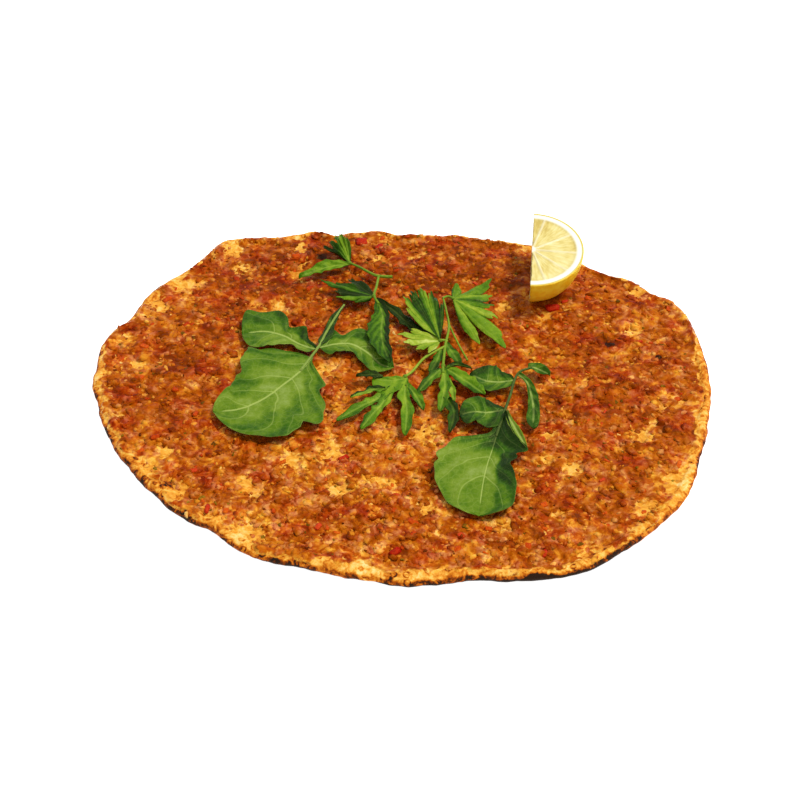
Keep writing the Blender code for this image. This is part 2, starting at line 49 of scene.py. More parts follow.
# Bread
BREAD_LENGTH = 310.0
BREAD_DEPTH = 258.0
BREAD_SQUARENESS = 2.3
BREAD_SIDES = 144
DOUGH_THICKNESS = 3.5
RIM_HEIGHT = 5.7
RIM_HEIGHT_CHANGE = 1.0
RIM_RAGGEDNESS = 0.9
RIM_RAG_SIZE = 14.0
RIM_CREST = 0.62
RIM_EDGE_LEVEL = 0.52
FLAT_MARGIN = 24.0
DOUGH_CLIMB = 0.45
EDGE_STEPS = 1440
EDGE_NICKS = 0.5
EDGE_NICK_SIZE = 4.2
RIM_UNDERSIDE = ((0.15, 0.4), (0.55, 0.29), (1.2, 0.2), (3.0, 0.08), (7.0, 0.0))

# Where the hand-stretched edge swells out or falls in: degrees, millimetres, spread in degrees
RIM_SWELLS = (
    (24, 7.0, 9),
    (43, -4.5, 8),
    (98, 3.0, 6),
    (113, 5.0, 7),
    (127, 12.0, 8),
    (157, -3.0, 5),
    (167, 2.0, 4),
    (178, 2.0, 6),
    (186, -4.0, 8),
    (211, -17.0, 21),
    (231, -6.0, 10),
    (250, -8.0, 12),
    (265, -3.0, 8),
    (284, -4.0, 7),
    (306, 3.5, 8),
    (346, -4.5, 9),
)

# Smaller dents and bulges of the baked edge: degrees, millimetres, spread in degrees
# These rows were fitted to the outline in the photo by a script
EDGE_TRIM = 0.5
EDGE_DENTS = (
    (8, 2.3, 9),
    (22, -0.8, 4),
    (30, -2.5, 2),
    (36, 2.2, 2),
    (69, -0.8, 4),
    (79, -1.3, 2),
    (90, -1.7, 2),
    (95, 1.5, 2),
    (98, -1.8, 9),
    (105, -1.9, 2),
    (110, 1.7, 2),
    (123, -1.4, 2),
    (129, 0.7, 3),
    (147, 1.1, 9),
    (163, 1.3, 2),
    (186, 2.3, 3),
    (200, -1.4, 3),
    (214, 0.7, 2),
    (225, -0.9, 2),
    (228, -2.6, 9),
    (232, 0.8, 3),
    (243, -1.2, 6),
    (268, 1.1, 2),
    (275, -1.1, 3),
    (306, 0.7, 9),
    (349, 1.9, 3),
)

# Where the edge is burnt: degrees, how far up the rim's height, spread in degrees
BURNT_EDGES = (
    (72, 0.15, 7),
    (100, 0.15, 10),
    (161, 0.4, 1.5),
    (185, 0.3, 3),
    (195, 0.2, 1.5),
    (204, 0.22, 6),
    (212, 0.2, 3),
    (220.5, 0.32, 1.6),
    (247, 0.2, 2),
    (267, 0.2, 1.5),
    (272, 0.2, 3),
    (277.5, 0.3, 1.5),
    (286.5, 0.3, 1.5),
    (291, 0.2, 2),
    (297, 0.55, 4),
    (304, 0.3, 4),
    (309, 0.18, 5),
    (324, -0.7, 7),
    (341, -0.8, 9),
    (364, -0.5, 14),
)
BURNT_LINE = 0.3
BURNT_RAG = 0.16
BURNT_RAG_SIZE = 6.0
BURNT_BLUR = 0.4
HALO = 0.3
HALO_BROWN = 0.6
CRUST_SHOULDER = 4.0
EDGE_BROWN = 0.95
EDGE_BROWN_WIDTH = 1.5
EDGE_BROWN_START = 1.2
LESS_BROWN_EDGES = ((328, 0.45, 9), (362, 0.5, 14))

# Brown streaks that run inward from the edge
STREAK = 0.28
STREAK_SIZE = 8.0
STREAK_LENGTH = 9.0
STREAK_CONTRAST = 2.4
STREAK_GRAIN = 0.8
STREAK_GRAIN_SIZE = 3.0

# Where the rim is paler or darker: degrees, strength, spread in degrees
PALE_EDGES = (
    (114, 0.3, 3),
    (127, 0.3, 2),
    (143, 0.2, 2),
    (177, 0.25, 3),
    (200, 0.2, 3),
    (234, 0.3, 3),
    (262, 0.45, 5),
    (302, 0.35, 3),
    (335, 0.4, 4),
    (353, 0.2, 3),
    (62, 0.3, 3),
    (192, -0.3, 6),
    (209, -0.3, 6),
    (222, -0.2, 5),
    (243, -0.15, 5),
    (313, -0.25, 6),
)

# Dough surface
DOUGH_CELLS = 260
DOUGH_INNER_SHARE = 0.62
DOUGH_RIM_ZONE = 24.0
BLISTER_SIZE = 7.0
BLISTER_HEIGHT = 1.0
SMALL_BLISTER_SIZE = 3.0
SMALL_BLISTER_HEIGHT = 0.28
DOUGH_WAVE = 0.7
DOUGH_WAVE_SIZE = 8.0
RELIEF_START = 2.5
RELIEF_REACH = 6.0
DOME_RADIUS = 0.6
DOME_STEP = 7.7

# Mince spread
GAP = 0.3
SPREAD_THICKNESS = 2.0
SPREAD_EDGE_THICKNESS = 0.8
SPREAD_BUMP = 0.85
SPREAD_BUMP_SIZE = 17.0
SPREAD_GRAIN = 0.45
SPREAD_GRAIN_SIZE = 8.0
SPREAD_TAPER = 14.0
SPREAD_EDGE_BUMP = 0.35
BARE_RIM = 5.5
BARE_RIM_CHANGE = 1.6
BARE_RIM_SWELLS = ((182, 3.0, 16), (262, 4.0, 30), (128, 2.0, 14), (330, 1.5, 20))

# Mince surface, which in the baked part runs thinly up the rim
MINCE_CELLS = 300
MINCE_INSET = 1.0
MINCE_SUNK = 0.8
MINCE_CORE_LEVEL = 2.0
MINCE_TIP = 3.0
CLUMP = 0.7
CLUMP_SIZE = 6.0
GRANULE = 0.7
GRANULE_SIZE = 4.2
GRAIN = 0.2
GRAIN_SIZE = 1.5
WARP = 1.6
WARP_SIZE = 3.4
FRAY = ((2.6, 7.0), (1.8, 2.6))
FRAY_SLOPE = 2.0
THIN_EDGE = 3.4
THIN_EDGE_RAG = 0.4
THIN_FINE_SIZE = 3.4
THIN_PATCH = 0.75
THIN_PATCH_SIZE = 15.0
THIN_SPOT = 0.55
THIN_SPOT_SIZE = 6.5
THIN_SPOT_SHIFT = Vector((9, 9, 9))
THIN_FINE = 0.3
THIN_START = 0.22
THIN_BLUR = 0.35
THIN_MOST = 0.7
THIN_CALM = 0.5
GRANULE_MEAN = 0.75
GRANULE_SINK = 0.5
MINCE_TIP_START = 0.4

# Where the mince stops short of the bread's edge: degrees, millimetres, spread in degrees
MINCE_EDGE = 0.6
MINCE_EDGE_SWELLS = (
    (4, 4.5, 6),
    (10, 4.5, 2),
    (60, 3.0, 4),
    (93, 5.0, 2),
    (114, 6.0, 3),
    (127, 6.0, 2.5),
    (143, 5.0, 3),
    (151, 5.0, 2),
    (158, 3.0, 2),
    (175, 3.5, 4),
    (182, 3.0, 1.5),
    (193, 3.5, 2),
    (201, 8.0, 2),
    (208, 4.5, 4),
    (226, 5.0, 3),
    (233, 8.0, 3),
    (246, 2.0, 2),
    (253, 4.5, 2),
    (262, 8.5, 4.5),
    (272, 5.5, 3),
    (280, 6.0, 4),
    (288, 2.0, 2.5),
    (297, 3.0, 3),
    (304, 2.5, 2.5),
    (335, 6.0, 5),
    (346, 4.0, 5),
    (354, 5.0, 3),
)

# Places where the dough shows through the mince: x, y, radius
# Most of the places were found in the photo by a script
BARE_PATCHES = (
    (-33, -42, 9),
    (-53, -47, 7),
    (-109, -69, 10),
    (-123, -53, 9),
    (-70, -96, 11),
    (-90, -88, 7),
    (13, -29, 8),
    (82, -54, 7),
    (-9, -62, 6),
    (-74, -62, 6),
    (-29, -67, 7),
    (49, -91, 6),
    (-38, 16, 7),
    (-11, 106, 5),
    (-63, 68, 5),
    (72, -29, 5),
    (-84, 98, 6),
    (-90, 113, 7),
    (75, 59, 5),
    (-55, 115, 6),
    (54, 66, 5),
    (117, -30, 6),
    (-132, 22, 5),
    (-115, 84, 7),
    (-126, 67, 7),
    (-82, 28, 5),
    (119, 46, 5),
    (125, 78, 6),
    (116, -80, 8),
    (111, -96, 8),
    (88, -110, 10),
    (-113, -42, 5),
    (71, -48, 5),
    (132, -65, 11),
    (12, -80, 6),
)
PATCH_FRAY = 0.5
PATCH_DEPTH = 0.6
PATCH_GLOW = 0.12
PATCH_GLOW_REACH = 1.5
PATCH_EDGE = 1.2
PATCH_BLUR = 0.8
FURTHEST_REACH = 2

# Burnt spots in the mince: x, y, radius
# The places were found in the photo by a script
BURNT_SPOTS = (
    (107.7, 36.6, 3.4),
    (131, 25, 2.0),
    (-42, 107, 3.0),
    (79, -6.4, 2.2),
    (14.7, -57.6, 2.2),
)
SPOT_EDGE = 1.2
SPOT_BLUR = 0.7
SPOT_RAG = 0.5
SPOT_RAG_SIZE = 1.5

# Crumbs and bits: how many, and half their length
CRUMBS = 4800
CRUMB_SIZE = (1.2, 2.8)
GOLDEN_CRUMBS = 1900
GOLDEN_SIZE = (1.1, 2.7)
LUMPS = 2000
LUMP_SIZE = (2.2, 4.4)
ONIONS = 260
ONION_SIZE = (1.0, 2.7)
PEPPERS = 180
PEPPER_SIZE = (1.4, 3.2)
FLECKS = 300
FLECK_SIZE = (1.0, 2.1)
CHARS = 120
CHAR_SIZE = (0.7, 1.6)
SHAPES_EACH = 9
EDGE_CLEARANCE = 1.7
SMALL_SIZES = 1.6
CRUMB_TILT = 0.35
CHIP_TILT = 0.25
LAID_TILT = 0.1
LAID_TONE = 0.35
LAID_TONE_STEP = 0.05
PEBBLE_ROUGHNESS = 0.8
PEBBLE_DETAIL = 1.3
PEBBLE_STEP = 5.3
CHIP_CUBE = 1.7
CHIP_ROUGHNESS = 0.5
CHIP_DETAIL = 0.9
CHIP_STEP = 3.1

# Slow changes of tone over the mince: strength and size
CLOUDS = ((0.2, 4.5), (0.28, 9.0), (0.18, 24.0))
MEAN_TONE = 0.46
OWN_TONE = 0.34
# Painted shade that darkens the mince along its edge
EDGE_SHADE = 0.3
EDGE_SHADE_WIDTH = 1.6
EDGE_SHADE_START = 1.3

# Where the mince is darker or lighter than elsewhere: x, y, radius, change of tone
# The last five are the burnt spots, whose places were found in the photo by a script
DARK_AREAS = (
    (-75, 95, 28, -0.2),
    (-20, 90, 32, -0.26),
    (34, 98, 30, -0.26),
    (110, 84, 26, -0.22),
    (-105, 30, 34, -0.14),
    (-140, -15, 20, -0.16),
    (118, 5, 30, -0.1),
    (70, -45, 24, -0.08),
    (-90, -50, 20, -0.1),
    (105, -85, 30, -0.1),
    (-45, -85, 20, -0.08),
    (15, -60, 24, 0.06),
    (-14, -20, 16, 0.1),
    (20, -104, 20, 0.06),
    (-128, -65, 14, -0.1),
    (-78, -97, 12, -0.1),
    (-124, 28, 14, -0.08),
    (104, 24, 14, -0.1),
    (84, -38, 12, -0.1),
    (95, -112, 12, -0.12),
    # Painted shadow beside the lemon's left face, deepening its shadow
    (60, 88, 8, -0.24),
    (-66, -34, 12, 0.16),
    (-22, -12, 12, 0.1),
    (2, 28, 10, 0.1),
    (107.7, 36.6, 3.4, -0.9),
    (131, 25, 2.6, -0.6),
    (-42, 107, 3, -0.6),
    (79, -6.4, 2.4, -0.8),
    (14.7, -57.6, 2.4, -0.6),
)

# Large pieces of pepper that stand out: x, y, half length, turn in degrees
# The first ten places were found in the photo by a script
PEPPER_PIECES = (
    (-2, -108, 3.6, 40),
    (79.5, 64, 3.8, 5),
    (-20.6, 119.8, 4.0, 0),
    (-11.6, 115.7, 3.4, 60),
    (-27.4, -45.9, 3.2, 20),
    (66.3, -109.5, 3.0, 80),
    (-90.5, -80.8, 2.8, 75),
    (122.5, 37.6, 2.2, 0),
    (86.3, 69.6, 2.2, 20),
    (-98.6, -55.5, 2.4, 10),
    (-38, -92, 2.2, 50),
    (28, -98, 2.0, 120),
    (-2, -72, 1.8, 10),
    (96, -62, 2.0, 30),
    (-62, 44, 1.8, 80),
    (40, 84, 2.0, 140),
    (-48, 88, 2.0, 15),
    (101, -14, 1.8, 60),
)
PEPPER_SINK = 0.05

# Large pale pieces of onion: x, y, half length, turn in degrees
# All places but that of the ninth were found in the photo by a script
ONION_PIECES = (
    (-81.5, 28.5, 3.2, 130),
    (24.1, -31.9, 3.0, 0),
    (13.8, -67.1, 2.6, 30),
    (-8.1, -48.2, 2.6, 10),
    (12.4, -88.7, 2.4, 0),
    (-51.5, -33.1, 3.0, 0),
    (3.5, 13.9, 3.0, 90),
    (-99.3, -83.3, 2.6, 90),
    (92, -20, 2.6, 20),
    (-115.1, -0.4, 3.0, 100),
)

# Lemon
LEMON_RADIUS = 27.0
LEMON_POINT = 1.04
LEMON_CORE = (68.8, 84.4)
LEMON_HEIGHT = 23.0
LEMON_LEAN = 5.5
LEMON_YAW = -4.4
LEMON_REST = 5.5
LEMON_FOOT = (76.0, 82.0)
LEMON_FOOT_RADIUS = 17.0
LEMON_MEMBRANES = (-90, -71, -37, -2, 32, 75, 90)
LEMON_STEPS = 15
LEMON_RINGS = 44
LEMON_PEEL_ROWS = 48
FLESH_REACH = 0.865
FLESH_DEPTH = 0.45
SAC_SIZE = 2.2
SAC_HEIGHT = 0.22
DIMPLE_SIZE = 1.7
DIMPLE_DEPTH = 0.16
DIMPLE_WIDTH = 0.5
DIMPLE_FADE = 1.5
PEEL_WAVE = 0.25
PEEL_WAVE_SIZE = 9.0
PEEL_WAVE_FADE = 4.0
FLESH_EDGE = 0.04
LEMON_CORE_RADIUS = 2.4
LEMON_CORE_BLUR = 1.2
MEMBRANE_WIDTH = 0.9
FACE_DEPTH = 1e-3
LEMON_WELD = 0.02

# Herbs
HERB_BED = 8.0
TIP_HALF_WIDTH = 0.4
RIPPLES = 9.0
STEP = 0.02
FAN_ROOT = 0.5
LEAF_GRAIN = 0.8
LEAF_THICKNESS = 0.35
VEIN_SWEEP = 0.2
VEIN_WANDER = 0.22
VEIN_WANDER_SIZE = 14.0
VEIN_RELIEF = 0.3
QUILT = 0.4
CREASE = 0.4
CREASE_WIDTH = 0.2
VEINLESS_TIP = 0.88
VEINLESS_END = 1.3
VEINLESS_FADE = 0.1
VEIN_CURVE = 1.3
SIDE_VEIN_DEPTH = 0.6
SIDE_VEIN_WIDTH = 0.08
SIDE_VEIN_REACH = 1.15
RIB_WIDTH = 0.7
RUFFLE = 1.2
RUFFLE_SIZE = 9.0
MARGIN_WAVE = 0.16
MARGIN_WAVES = 9
MARGIN_SHIFT = 3
END_ROUNDING = 0.06
FAN_TEETH = 0.12
FAN_RUFFLE = 1.6
FAN_RUFFLE_SIZE = 5.0
FAN_HEART = 0.3
FAN_COLUMNS = 8
FAN_TOOTH_RATE = 1.5
FAN_RIB = 0.4
FINGER_STEP = 2.3
# Painted shade in the valleys between a parsley fan's fingers
FINGER_SHADE = 0.36
VALLEY_SHARPNESS = 10
FINGER_CHANGE = 0.24
LOBE_BREADTH = 1.5
STALK_STEPS = 6
STALK_PALENESS = 0.45
KNUCKLE_TINT = 0.7
STALK_WELD = 1e-3

# Colours of the light that oily food and leaves throw back
OIL_GLOSS = (1.0, 0.55, 0.05)
LEAF_GLOSS = (0.9, 1.0, 0.3)

# Light and camera, with the camera's place set from the middle of the bread's outline
EYE_ELEVATION = 43.0
EYE_DISTANCE = 1000.0
LENS = 90.0
SENSOR = 36.0
SUN_ELEVATION = 62.0
SUN_TURN = 78.0
SUN_STRENGTH = 3.0
SUN_ANGLE = 12.0
SKY_STRENGTH = 0.76
LIGHT_LEVEL = 1.3
FLOOR_SIZE = 12.0
FLOOR_GLOW = 0.9


def along(values, share):
    """The value at a share, 0 to 1, of an evenly spaced list, on a smooth curve through it."""
    last = len(values) - 1
    place = min(max(share, 0.0), 1.0) * last
    i = min(int(place), last - 1)
    f = place - i
    a, b, c, d = values[max(i - 1, 0)], values[i], values[i + 1], values[min(i + 2, last)]
    bend = (2 * a - 5 * b + 4 * c - d) * f * f + (3 * b - a - 3 * c + d) * f ** 3
    return 0.5 * (2 * b + (c - a) * f + bend)


def ease(value):
    """A smooth step from 0 to 1."""
    value = min(max(value, 0.0), 1.0)
    return value * value * (3 - 2 * value)


def swell(angle, swells):
    """The sum of the swells at an angle in radians."""
    total = 0.0
    for at, amount, spread in swells:
        turn = (math.degrees(angle) - at + 180) % 360 - 180
        total += amount * math.exp(-((turn / spread) ** 2))
    return total


def rim_noise(angle, size, seed):
    """Smooth noise that runs round the rim and meets itself."""
    turn = BREAD_LENGTH / 2 / size
    return noise.noise(Vector((turn * math.cos(angle), turn * math.sin(angle), seed)))


def noise_at(x, y, level, size):
    """Smooth noise of one size over the bread, with its own level for each use."""
    return noise.noise(Vector((x, y, level)) / size)


def rim_radius(angle):
    """Distance from the middle of the bread to its edge."""
    across = abs(math.cos(angle)) / (BREAD_LENGTH / 2)
    deep = abs(math.sin(angle)) / (BREAD_DEPTH / 2)
    oval = (across ** BREAD_SQUARENESS + deep ** BREAD_SQUARENESS) ** (-1 / BREAD_SQUARENESS)
    ragged = RIM_RAGGEDNESS * rim_noise(angle, RIM_RAG_SIZE, 1.5)
    return oval + swell(angle, RIM_SWELLS) + ragged


def rim_height(angle):
    return RIM_HEIGHT + RIM_HEIGHT_CHANGE * rim_noise(angle, 2 * RIM_RAG_SIZE, 7.5)


def bare_rim(angle):
    """Width of the rim that the spread leaves bare."""
    change = BARE_RIM_CHANGE * rim_noise(angle, RIM_RAG_SIZE, 3.5)
    return BARE_RIM + swell(angle, BARE_RIM_SWELLS) + change


def edge_table():
    """Radius, rim height, bare width and the mince's edge at even steps round the bread."""
    rows = []
    for k in range(EDGE_STEPS):
        angle = 2 * math.pi * k / EDGE_STEPS
        radius = rim_radius(angle) + swell(angle, EDGE_DENTS) - EDGE_TRIM
        radius += EDGE_NICKS * rim_noise(angle, EDGE_NICK_SIZE, 11.5)
        short = MINCE_EDGE + swell(angle, MINCE_EDGE_SWELLS)
        rows.append(Vector((radius, rim_height(angle), bare_rim(angle), short)))
    return rows


EDGE = edge_table()


def edge_at(angle):
    """Radius, rim height, bare width and the mince's edge at an angle."""
    place = angle / (2 * math.pi) % 1 * EDGE_STEPS
    i = int(place)
    return EDGE[i % EDGE_STEPS].lerp(EDGE[(i + 1) % EDGE_STEPS], place - i)


def dough_level(angle, radius):
    """Height of the dough's upper face under the spread, which climbs a little at the rim."""
    edge, height, _, _ = edge_at(angle)
    climb = ease((radius - edge + FLAT_MARGIN) / FLAT_MARGIN)
    return DOUGH_THICKNESS + DOUGH_CLIMB * (height - DOUGH_THICKNESS) * climb


def spread_level(angle, radius):
    """Height of the spread's upper face."""
    x, y = radius * math.cos(angle), radius * math.sin(angle)
    edge, _, bare, _ = edge_at(angle)
    inside = ease((edge - bare - radius) / SPREAD_TAPER)
    thick = SPREAD_EDGE_THICKNESS + (SPREAD_THICKNESS - SPREAD_EDGE_THICKNESS) * inside
    bump = SPREAD_BUMP * noise_at(x, y, 0, SPREAD_BUMP_SIZE)
    bump += SPREAD_GRAIN * noise_at(x, y, 90, SPREAD_GRAIN_SIZE)
    bump *= SPREAD_EDGE_BUMP + (1 - SPREAD_EDGE_BUMP) * inside
    return dough_level(angle, radius) + GAP + thick + bump


def polar(angle, radius, height):
    return Vector((radius * math.cos(angle), radius * math.sin(angle), height))


def bread_centre():
    """Middle of the box round the bread's edge, which is the part's origin."""
    angles = [2 * math.pi * k / BREAD_SIDES for k in range(BREAD_SIDES)]
    rim = [polar(angle, rim_radius(angle), 0) for angle in angles]
    xs, ys = [p.x for p in rim], [p.y for p in rim]
    return Vector(((min(xs) + max(xs)) / 2, (min(ys) + max(ys)) / 2, 0))


CENTRE = bread_centre()


def square_to_disc(x, y):
    """Angle and share of the radius for a point of a square from -1 to 1, with even spacing."""
    if abs(x) < 1e-9 and abs(y) < 1e-9:
        return 0.0, 0.0
    if abs(x) > abs(y):
        angle = math.pi / 4 * y / x + (math.pi if x < 0 else 0)
        return angle, abs(x)
    angle = math.pi / 2 - math.pi / 4 * x / y + (math.pi if y < 0 else 0)
    return angle, abs(y)


def extrude_ring(bm, edges, point_at):
    """Extrudes a loop of edges into a new ring, whose points come from their angles."""
    grown = bmesh.ops.extrude_edge_only(bm, edges=edges)["geom"]
    for vert in grown:
        if isinstance(vert, bmesh.types.BMVert):
            vert.co = point_at(math.atan2(vert.co.y, vert.co.x))
    return [e for e in grown if isinstance(e, bmesh.types.BMEdge) and e.is_boundary]


def close_end(bm, edges):
    bmesh.ops.contextual_create(bm, geom=edges)
    bmesh.ops.recalc_face_normals(bm, faces=bm.faces)


def layer(bm, name):
    """The vertex values of that name, made if they aren't there yet."""
    return bm.verts.layers.float.get(name) or bm.verts.layers.float.new(name)


def dome(x, y, size, seed):
    """Rounded bumps in a loose pattern, 0 to 1, with the bump's own random number."""
    point = Vector((x, y, seed))
    point += WARP * noise.noise_vector(point / WARP_SIZE)
    distances, centres = noise.voronoi(point / size)
    own = noise.noise(centres[0] * DOME_STEP)
    return max(1 - (distances[0] / DOME_RADIUS) ** 2, 0.0), own


# Baked dough

def crust_level(angle, radius):
    """Height of the dough's upper face, with its puffed rim."""
    edge, height, bare, _ = edge_at(angle)
    inward = edge - radius
    if inward >= bare:
        return dough_level(angle, radius)
    crest = RIM_CREST * bare
    if inward > crest:
        foot = dough_level(angle, edge - bare)
        return height + (foot - height) * ease((inward - crest) / (bare - crest))
    drop = 1 - max(inward, 0) / crest
    return height * (RIM_EDGE_LEVEL + (1 - RIM_EDGE_LEVEL) * math.sqrt(1 - drop * drop))


def crust_relief(x, y, near_edge):
    """Blisters and waves of the baked crust."""
    large, own = dome(x, y, BLISTER_SIZE, 3)
    small, small_own = dome(x, y, SMALL_BLISTER_SIZE, 9)
    blister = large * max(own, 0) * 2 * BLISTER_HEIGHT
    blister += small * max(small_own, 0) * 2 * SMALL_BLISTER_HEIGHT
    wave = DOUGH_WAVE * noise_at(x, y, 20, DOUGH_WAVE_SIZE)
    return (blister + wave) * near_edge


def dough_radius(angle, share):
    """Radius of the dough's mesh rings, which lie closer together at the rim."""
    edge = edge_at(angle)[0]
    if share < DOUGH_INNER_SHARE:
        return share / DOUGH_INNER_SHARE * (edge - DOUGH_RIM_ZONE)
    outer = (share - DOUGH_INNER_SHARE) / (1 - DOUGH_INNER_SHARE)
    return edge - DOUGH_RIM_ZONE * (1 - math.sin(outer * math.pi / 2))


def baked_dough():
    """The flatbread: a flat middle, a blistered rim that curls under, and a flat underside."""
    bm = bmesh.new()
    burnt, brown, pale = layer(bm, "burnt"), layer(bm, "brown"), layer(bm, "pale")
    bmesh.ops.create_grid(bm, x_segments=DOUGH_CELLS, y_segments=DOUGH_CELLS, size=1)
    edges = [edge for edge in bm.edges if edge.is_boundary]
    for vert in bm.verts:
        angle, share = square_to_disc(vert.co.x, vert.co.y)
        radius = dough_radius(angle, share)
        vert.co = polar(angle, radius, crust_level(angle, radius))
        inward, bare = edge_at(angle)[0] - radius, edge_at(angle)[2]
        near_edge = ease(inward / RELIEF_START)
        near_edge *= ease((2 * bare + RELIEF_REACH - inward) / (bare + RELIEF_REACH / 2))
        vert.co.z += crust_relief(vert.co.x, vert.co.y, near_edge)
    for inset, share in RIM_UNDERSIDE:
        edges = extrude_ring(bm, edges, lambda angle: underside(angle, inset, share))
    close_end(bm, edges)
    for vert in bm.verts:
        vert[burnt], vert[brown] = browning(vert.co)
        vert[pale] = swell(math.atan2(vert.co.y, vert.co.x), PALE_EDGES)
    return bm


def browning(point):
    """How burnt and how browned the crust is at a point."""
    angle = math.atan2(point.y, point.x)
    edge, height, bare, _ = edge_at(angle)
    inward = edge - math.hypot(point.x, point.y)
    crest = RIM_CREST * bare
    up = point.z / height if inward < crest else 1 + (inward - crest) / CRUST_SHOULDER
    ragged = BURNT_RAG * noise_at(point.x, point.y, 3, BURNT_RAG_SIZE)
    reach = BURNT_LINE + swell(angle, BURNT_EDGES) + ragged
    brown = EDGE_BROWN - swell(angle, LESS_BROWN_EDGES)
    brown *= ease(EDGE_BROWN_START - inward / EDGE_BROWN_WIDTH + 2 * ragged)
    brown += HALO_BROWN * ease((reach + HALO - up) / HALO)
    streak = STREAK_CONTRAST * rim_noise(angle, STREAK_SIZE, 21.5)
    streak += STREAK_GRAIN * noise.noise(point / STREAK_GRAIN_SIZE)
    brown += STREAK * ease(streak) * ease(1 - inward / STREAK_LENGTH)
    return ease((reach - up) / BURNT_BLUR + 0.5), min(brown, 1.0)


def underside(angle, inset, share):
    edge, height, _, _ = edge_at(angle)
    return polar(angle, edge - inset, share * height)


# Mince

def edge_depth(x, y, angle, radius):
    """Millimetres from the mince's frayed edge, inward."""
    edge, _, _, short = edge_at(angle)
    depth = edge - short - radius
    if depth > 3 * THIN_EDGE:
        return depth
    for k, (amount, size) in enumerate(FRAY):
        depth += amount * noise_at(x, y, 30 + 20 * k, size)
    return depth


def thinness(x, y, depth):
    """How thin the mince is, from 0 to 1 where the dough shows through."""
    point = Vector((x, y, 0))
    fine = noise.noise(point / THIN_FINE_SIZE) + 0.5 * noise.noise(point / (THIN_FINE_SIZE / 2))
    thin = THIN_PATCH * noise.noise(point / THIN_PATCH_SIZE)
    thin += THIN_SPOT * noise.noise(point / THIN_SPOT_SIZE + THIN_SPOT_SHIFT)
    bare = ease((thin + THIN_FINE * fine - THIN_START) / THIN_BLUR) * THIN_MOST
    bare = max(bare, ease(1 - depth / THIN_EDGE + THIN_EDGE_RAG * fine))
    for cx, cy, size in BARE_PATCHES:
        reach = math.hypot(x - cx, y - cy) / size
        if reach < FURTHEST_REACH:
            bare = max(bare, ease((PATCH_EDGE + PATCH_FRAY * fine - reach) / PATCH_BLUR))
    return bare


def spots(x, y, places):
    """How deep a point lies in the nearest of some spots, 0 to 1."""
    deepest = 0.0
    for cx, cy, size in places:
        reach = math.hypot(x - cx, y - cy) / size
        if reach < FURTHEST_REACH:
            ragged = SPOT_RAG * noise_at(x, y, 5, SPOT_RAG_SIZE)
            deepest = max(deepest, ease((SPOT_EDGE + ragged - reach) / SPOT_BLUR))
    return deepest


def cloud(x, y):
    """How much lighter or darker the mince is at a place than on average."""
    point = Vector((x, y, 70))
    tone = sum(amount * noise.noise(point / size) for amount, size in CLOUDS)
    for cx, cy, size, change in DARK_AREAS:
        tone += change * math.exp(-(math.dist((x, y), (cx, cy)) / size) ** 2)
    for cx, cy, size in BARE_PATCHES:
        reach = math.hypot(x - cx, y - cy) / (PATCH_GLOW_REACH * size)
        if reach < FURTHEST_REACH:
            tone += PATCH_GLOW * math.exp(-(reach**2))
    return tone


def mince_relief(x, y, thin):
    """Clumps, granules and grain of the mince, flatter where it is thin."""
    point = Vector((x, y, 0))
    bump, own = dome(x, y, GRANULE_SIZE, 40)
    rough = CLUMP * noise.noise(point / CLUMP_SIZE)
    rough += GRANULE * (bump * (GRANULE_MEAN + own) - GRANULE_SINK)
    rough += GRAIN * noise.noise(point / GRAIN_SIZE)
    return rough * (1 - THIN_CALM * thin)


def mince_ground(angle, radius):
    """The mince's level at a place, how thin it is there, and how far inside its edge it lies."""
    x, y = radius * math.cos(angle), radius * math.sin(angle)
    depth = edge_depth(x, y, angle, radius)
    thin = thinness(x, y, depth)
    crust = crust_level(angle, radius)
    thick = spread_level(angle, radius) - dough_level(angle, radius)
    inward = edge_at(angle)[0] - radius
    thick = thick * (1 - PATCH_DEPTH * thin) * ease(inward / MINCE_TIP + MINCE_TIP_START)
    thick += mince_relief(x, y, thin)
    level = crust - MINCE_SUNK + (thick + MINCE_SUNK) * ease(depth / FRAY_SLOPE + 0.5)
    pressed = ease(2 - math.dist((x, y), LEMON_FOOT) / LEMON_FOOT_RADIUS)
    return level + (min(level, LEMON_REST) - level) * pressed, thin, depth


def mince_layer():
    """The mince: a granular surface over the dough, closed by a core inside the dough."""
    bm = bmesh.new()
    thin_values, burnt_values, tone_values = layer(bm, "thin"), layer(bm, "burnt"), layer(bm, "tone")
    bmesh.ops.create_grid(bm, x_segments=MINCE_CELLS, y_segments=MINCE_CELLS, size=1)
    edges = [edge for edge in bm.edges if edge.is_boundary]
    for vert in bm.verts:
        angle, share = square_to_disc(vert.co.x, vert.co.y)
        radius = share * (edge_at(angle)[0] - MINCE_INSET)
        level, thin, depth = mince_ground(angle, radius)
        vert.co = polar(angle, radius, level)
        vert[thin_values] = thin
        vert[burnt_values] = spots(vert.co.x, vert.co.y, BURNT_SPOTS)
        # Painted shade darkens the mince near its edge
        dark_edge = EDGE_SHADE * ease(EDGE_SHADE_START - depth / EDGE_SHADE_WIDTH)
        vert[tone_values] = cloud(vert.co.x, vert.co.y) - dark_edge
    edges = extrude_ring(bm, edges, mince_core)
    close_end(bm, edges)
    return bm


def mince_core(angle):
    return polar(angle, edge_at(angle)[0] - FLAT_MARGIN, MINCE_CORE_LEVEL)


# Crumbs and bits, as many copies of a few small shapes

def pebble(seed, subdivisions, stretch):
    """A small irregular lump of about 1 mm radius."""
    bm = bmesh.new()
    bmesh.ops.create_icosphere(bm, subdivisions=subdivisions, radius=1)
    for vert in bm.verts:
        place = vert.co * PEBBLE_DETAIL + Vector((seed * PEBBLE_STEP, 0, 0))
        vert.co *= 1 + PEBBLE_ROUGHNESS * noise.noise(place)
    bmesh.ops.scale(bm, vec=stretch, verts=bm.verts)
    return bm


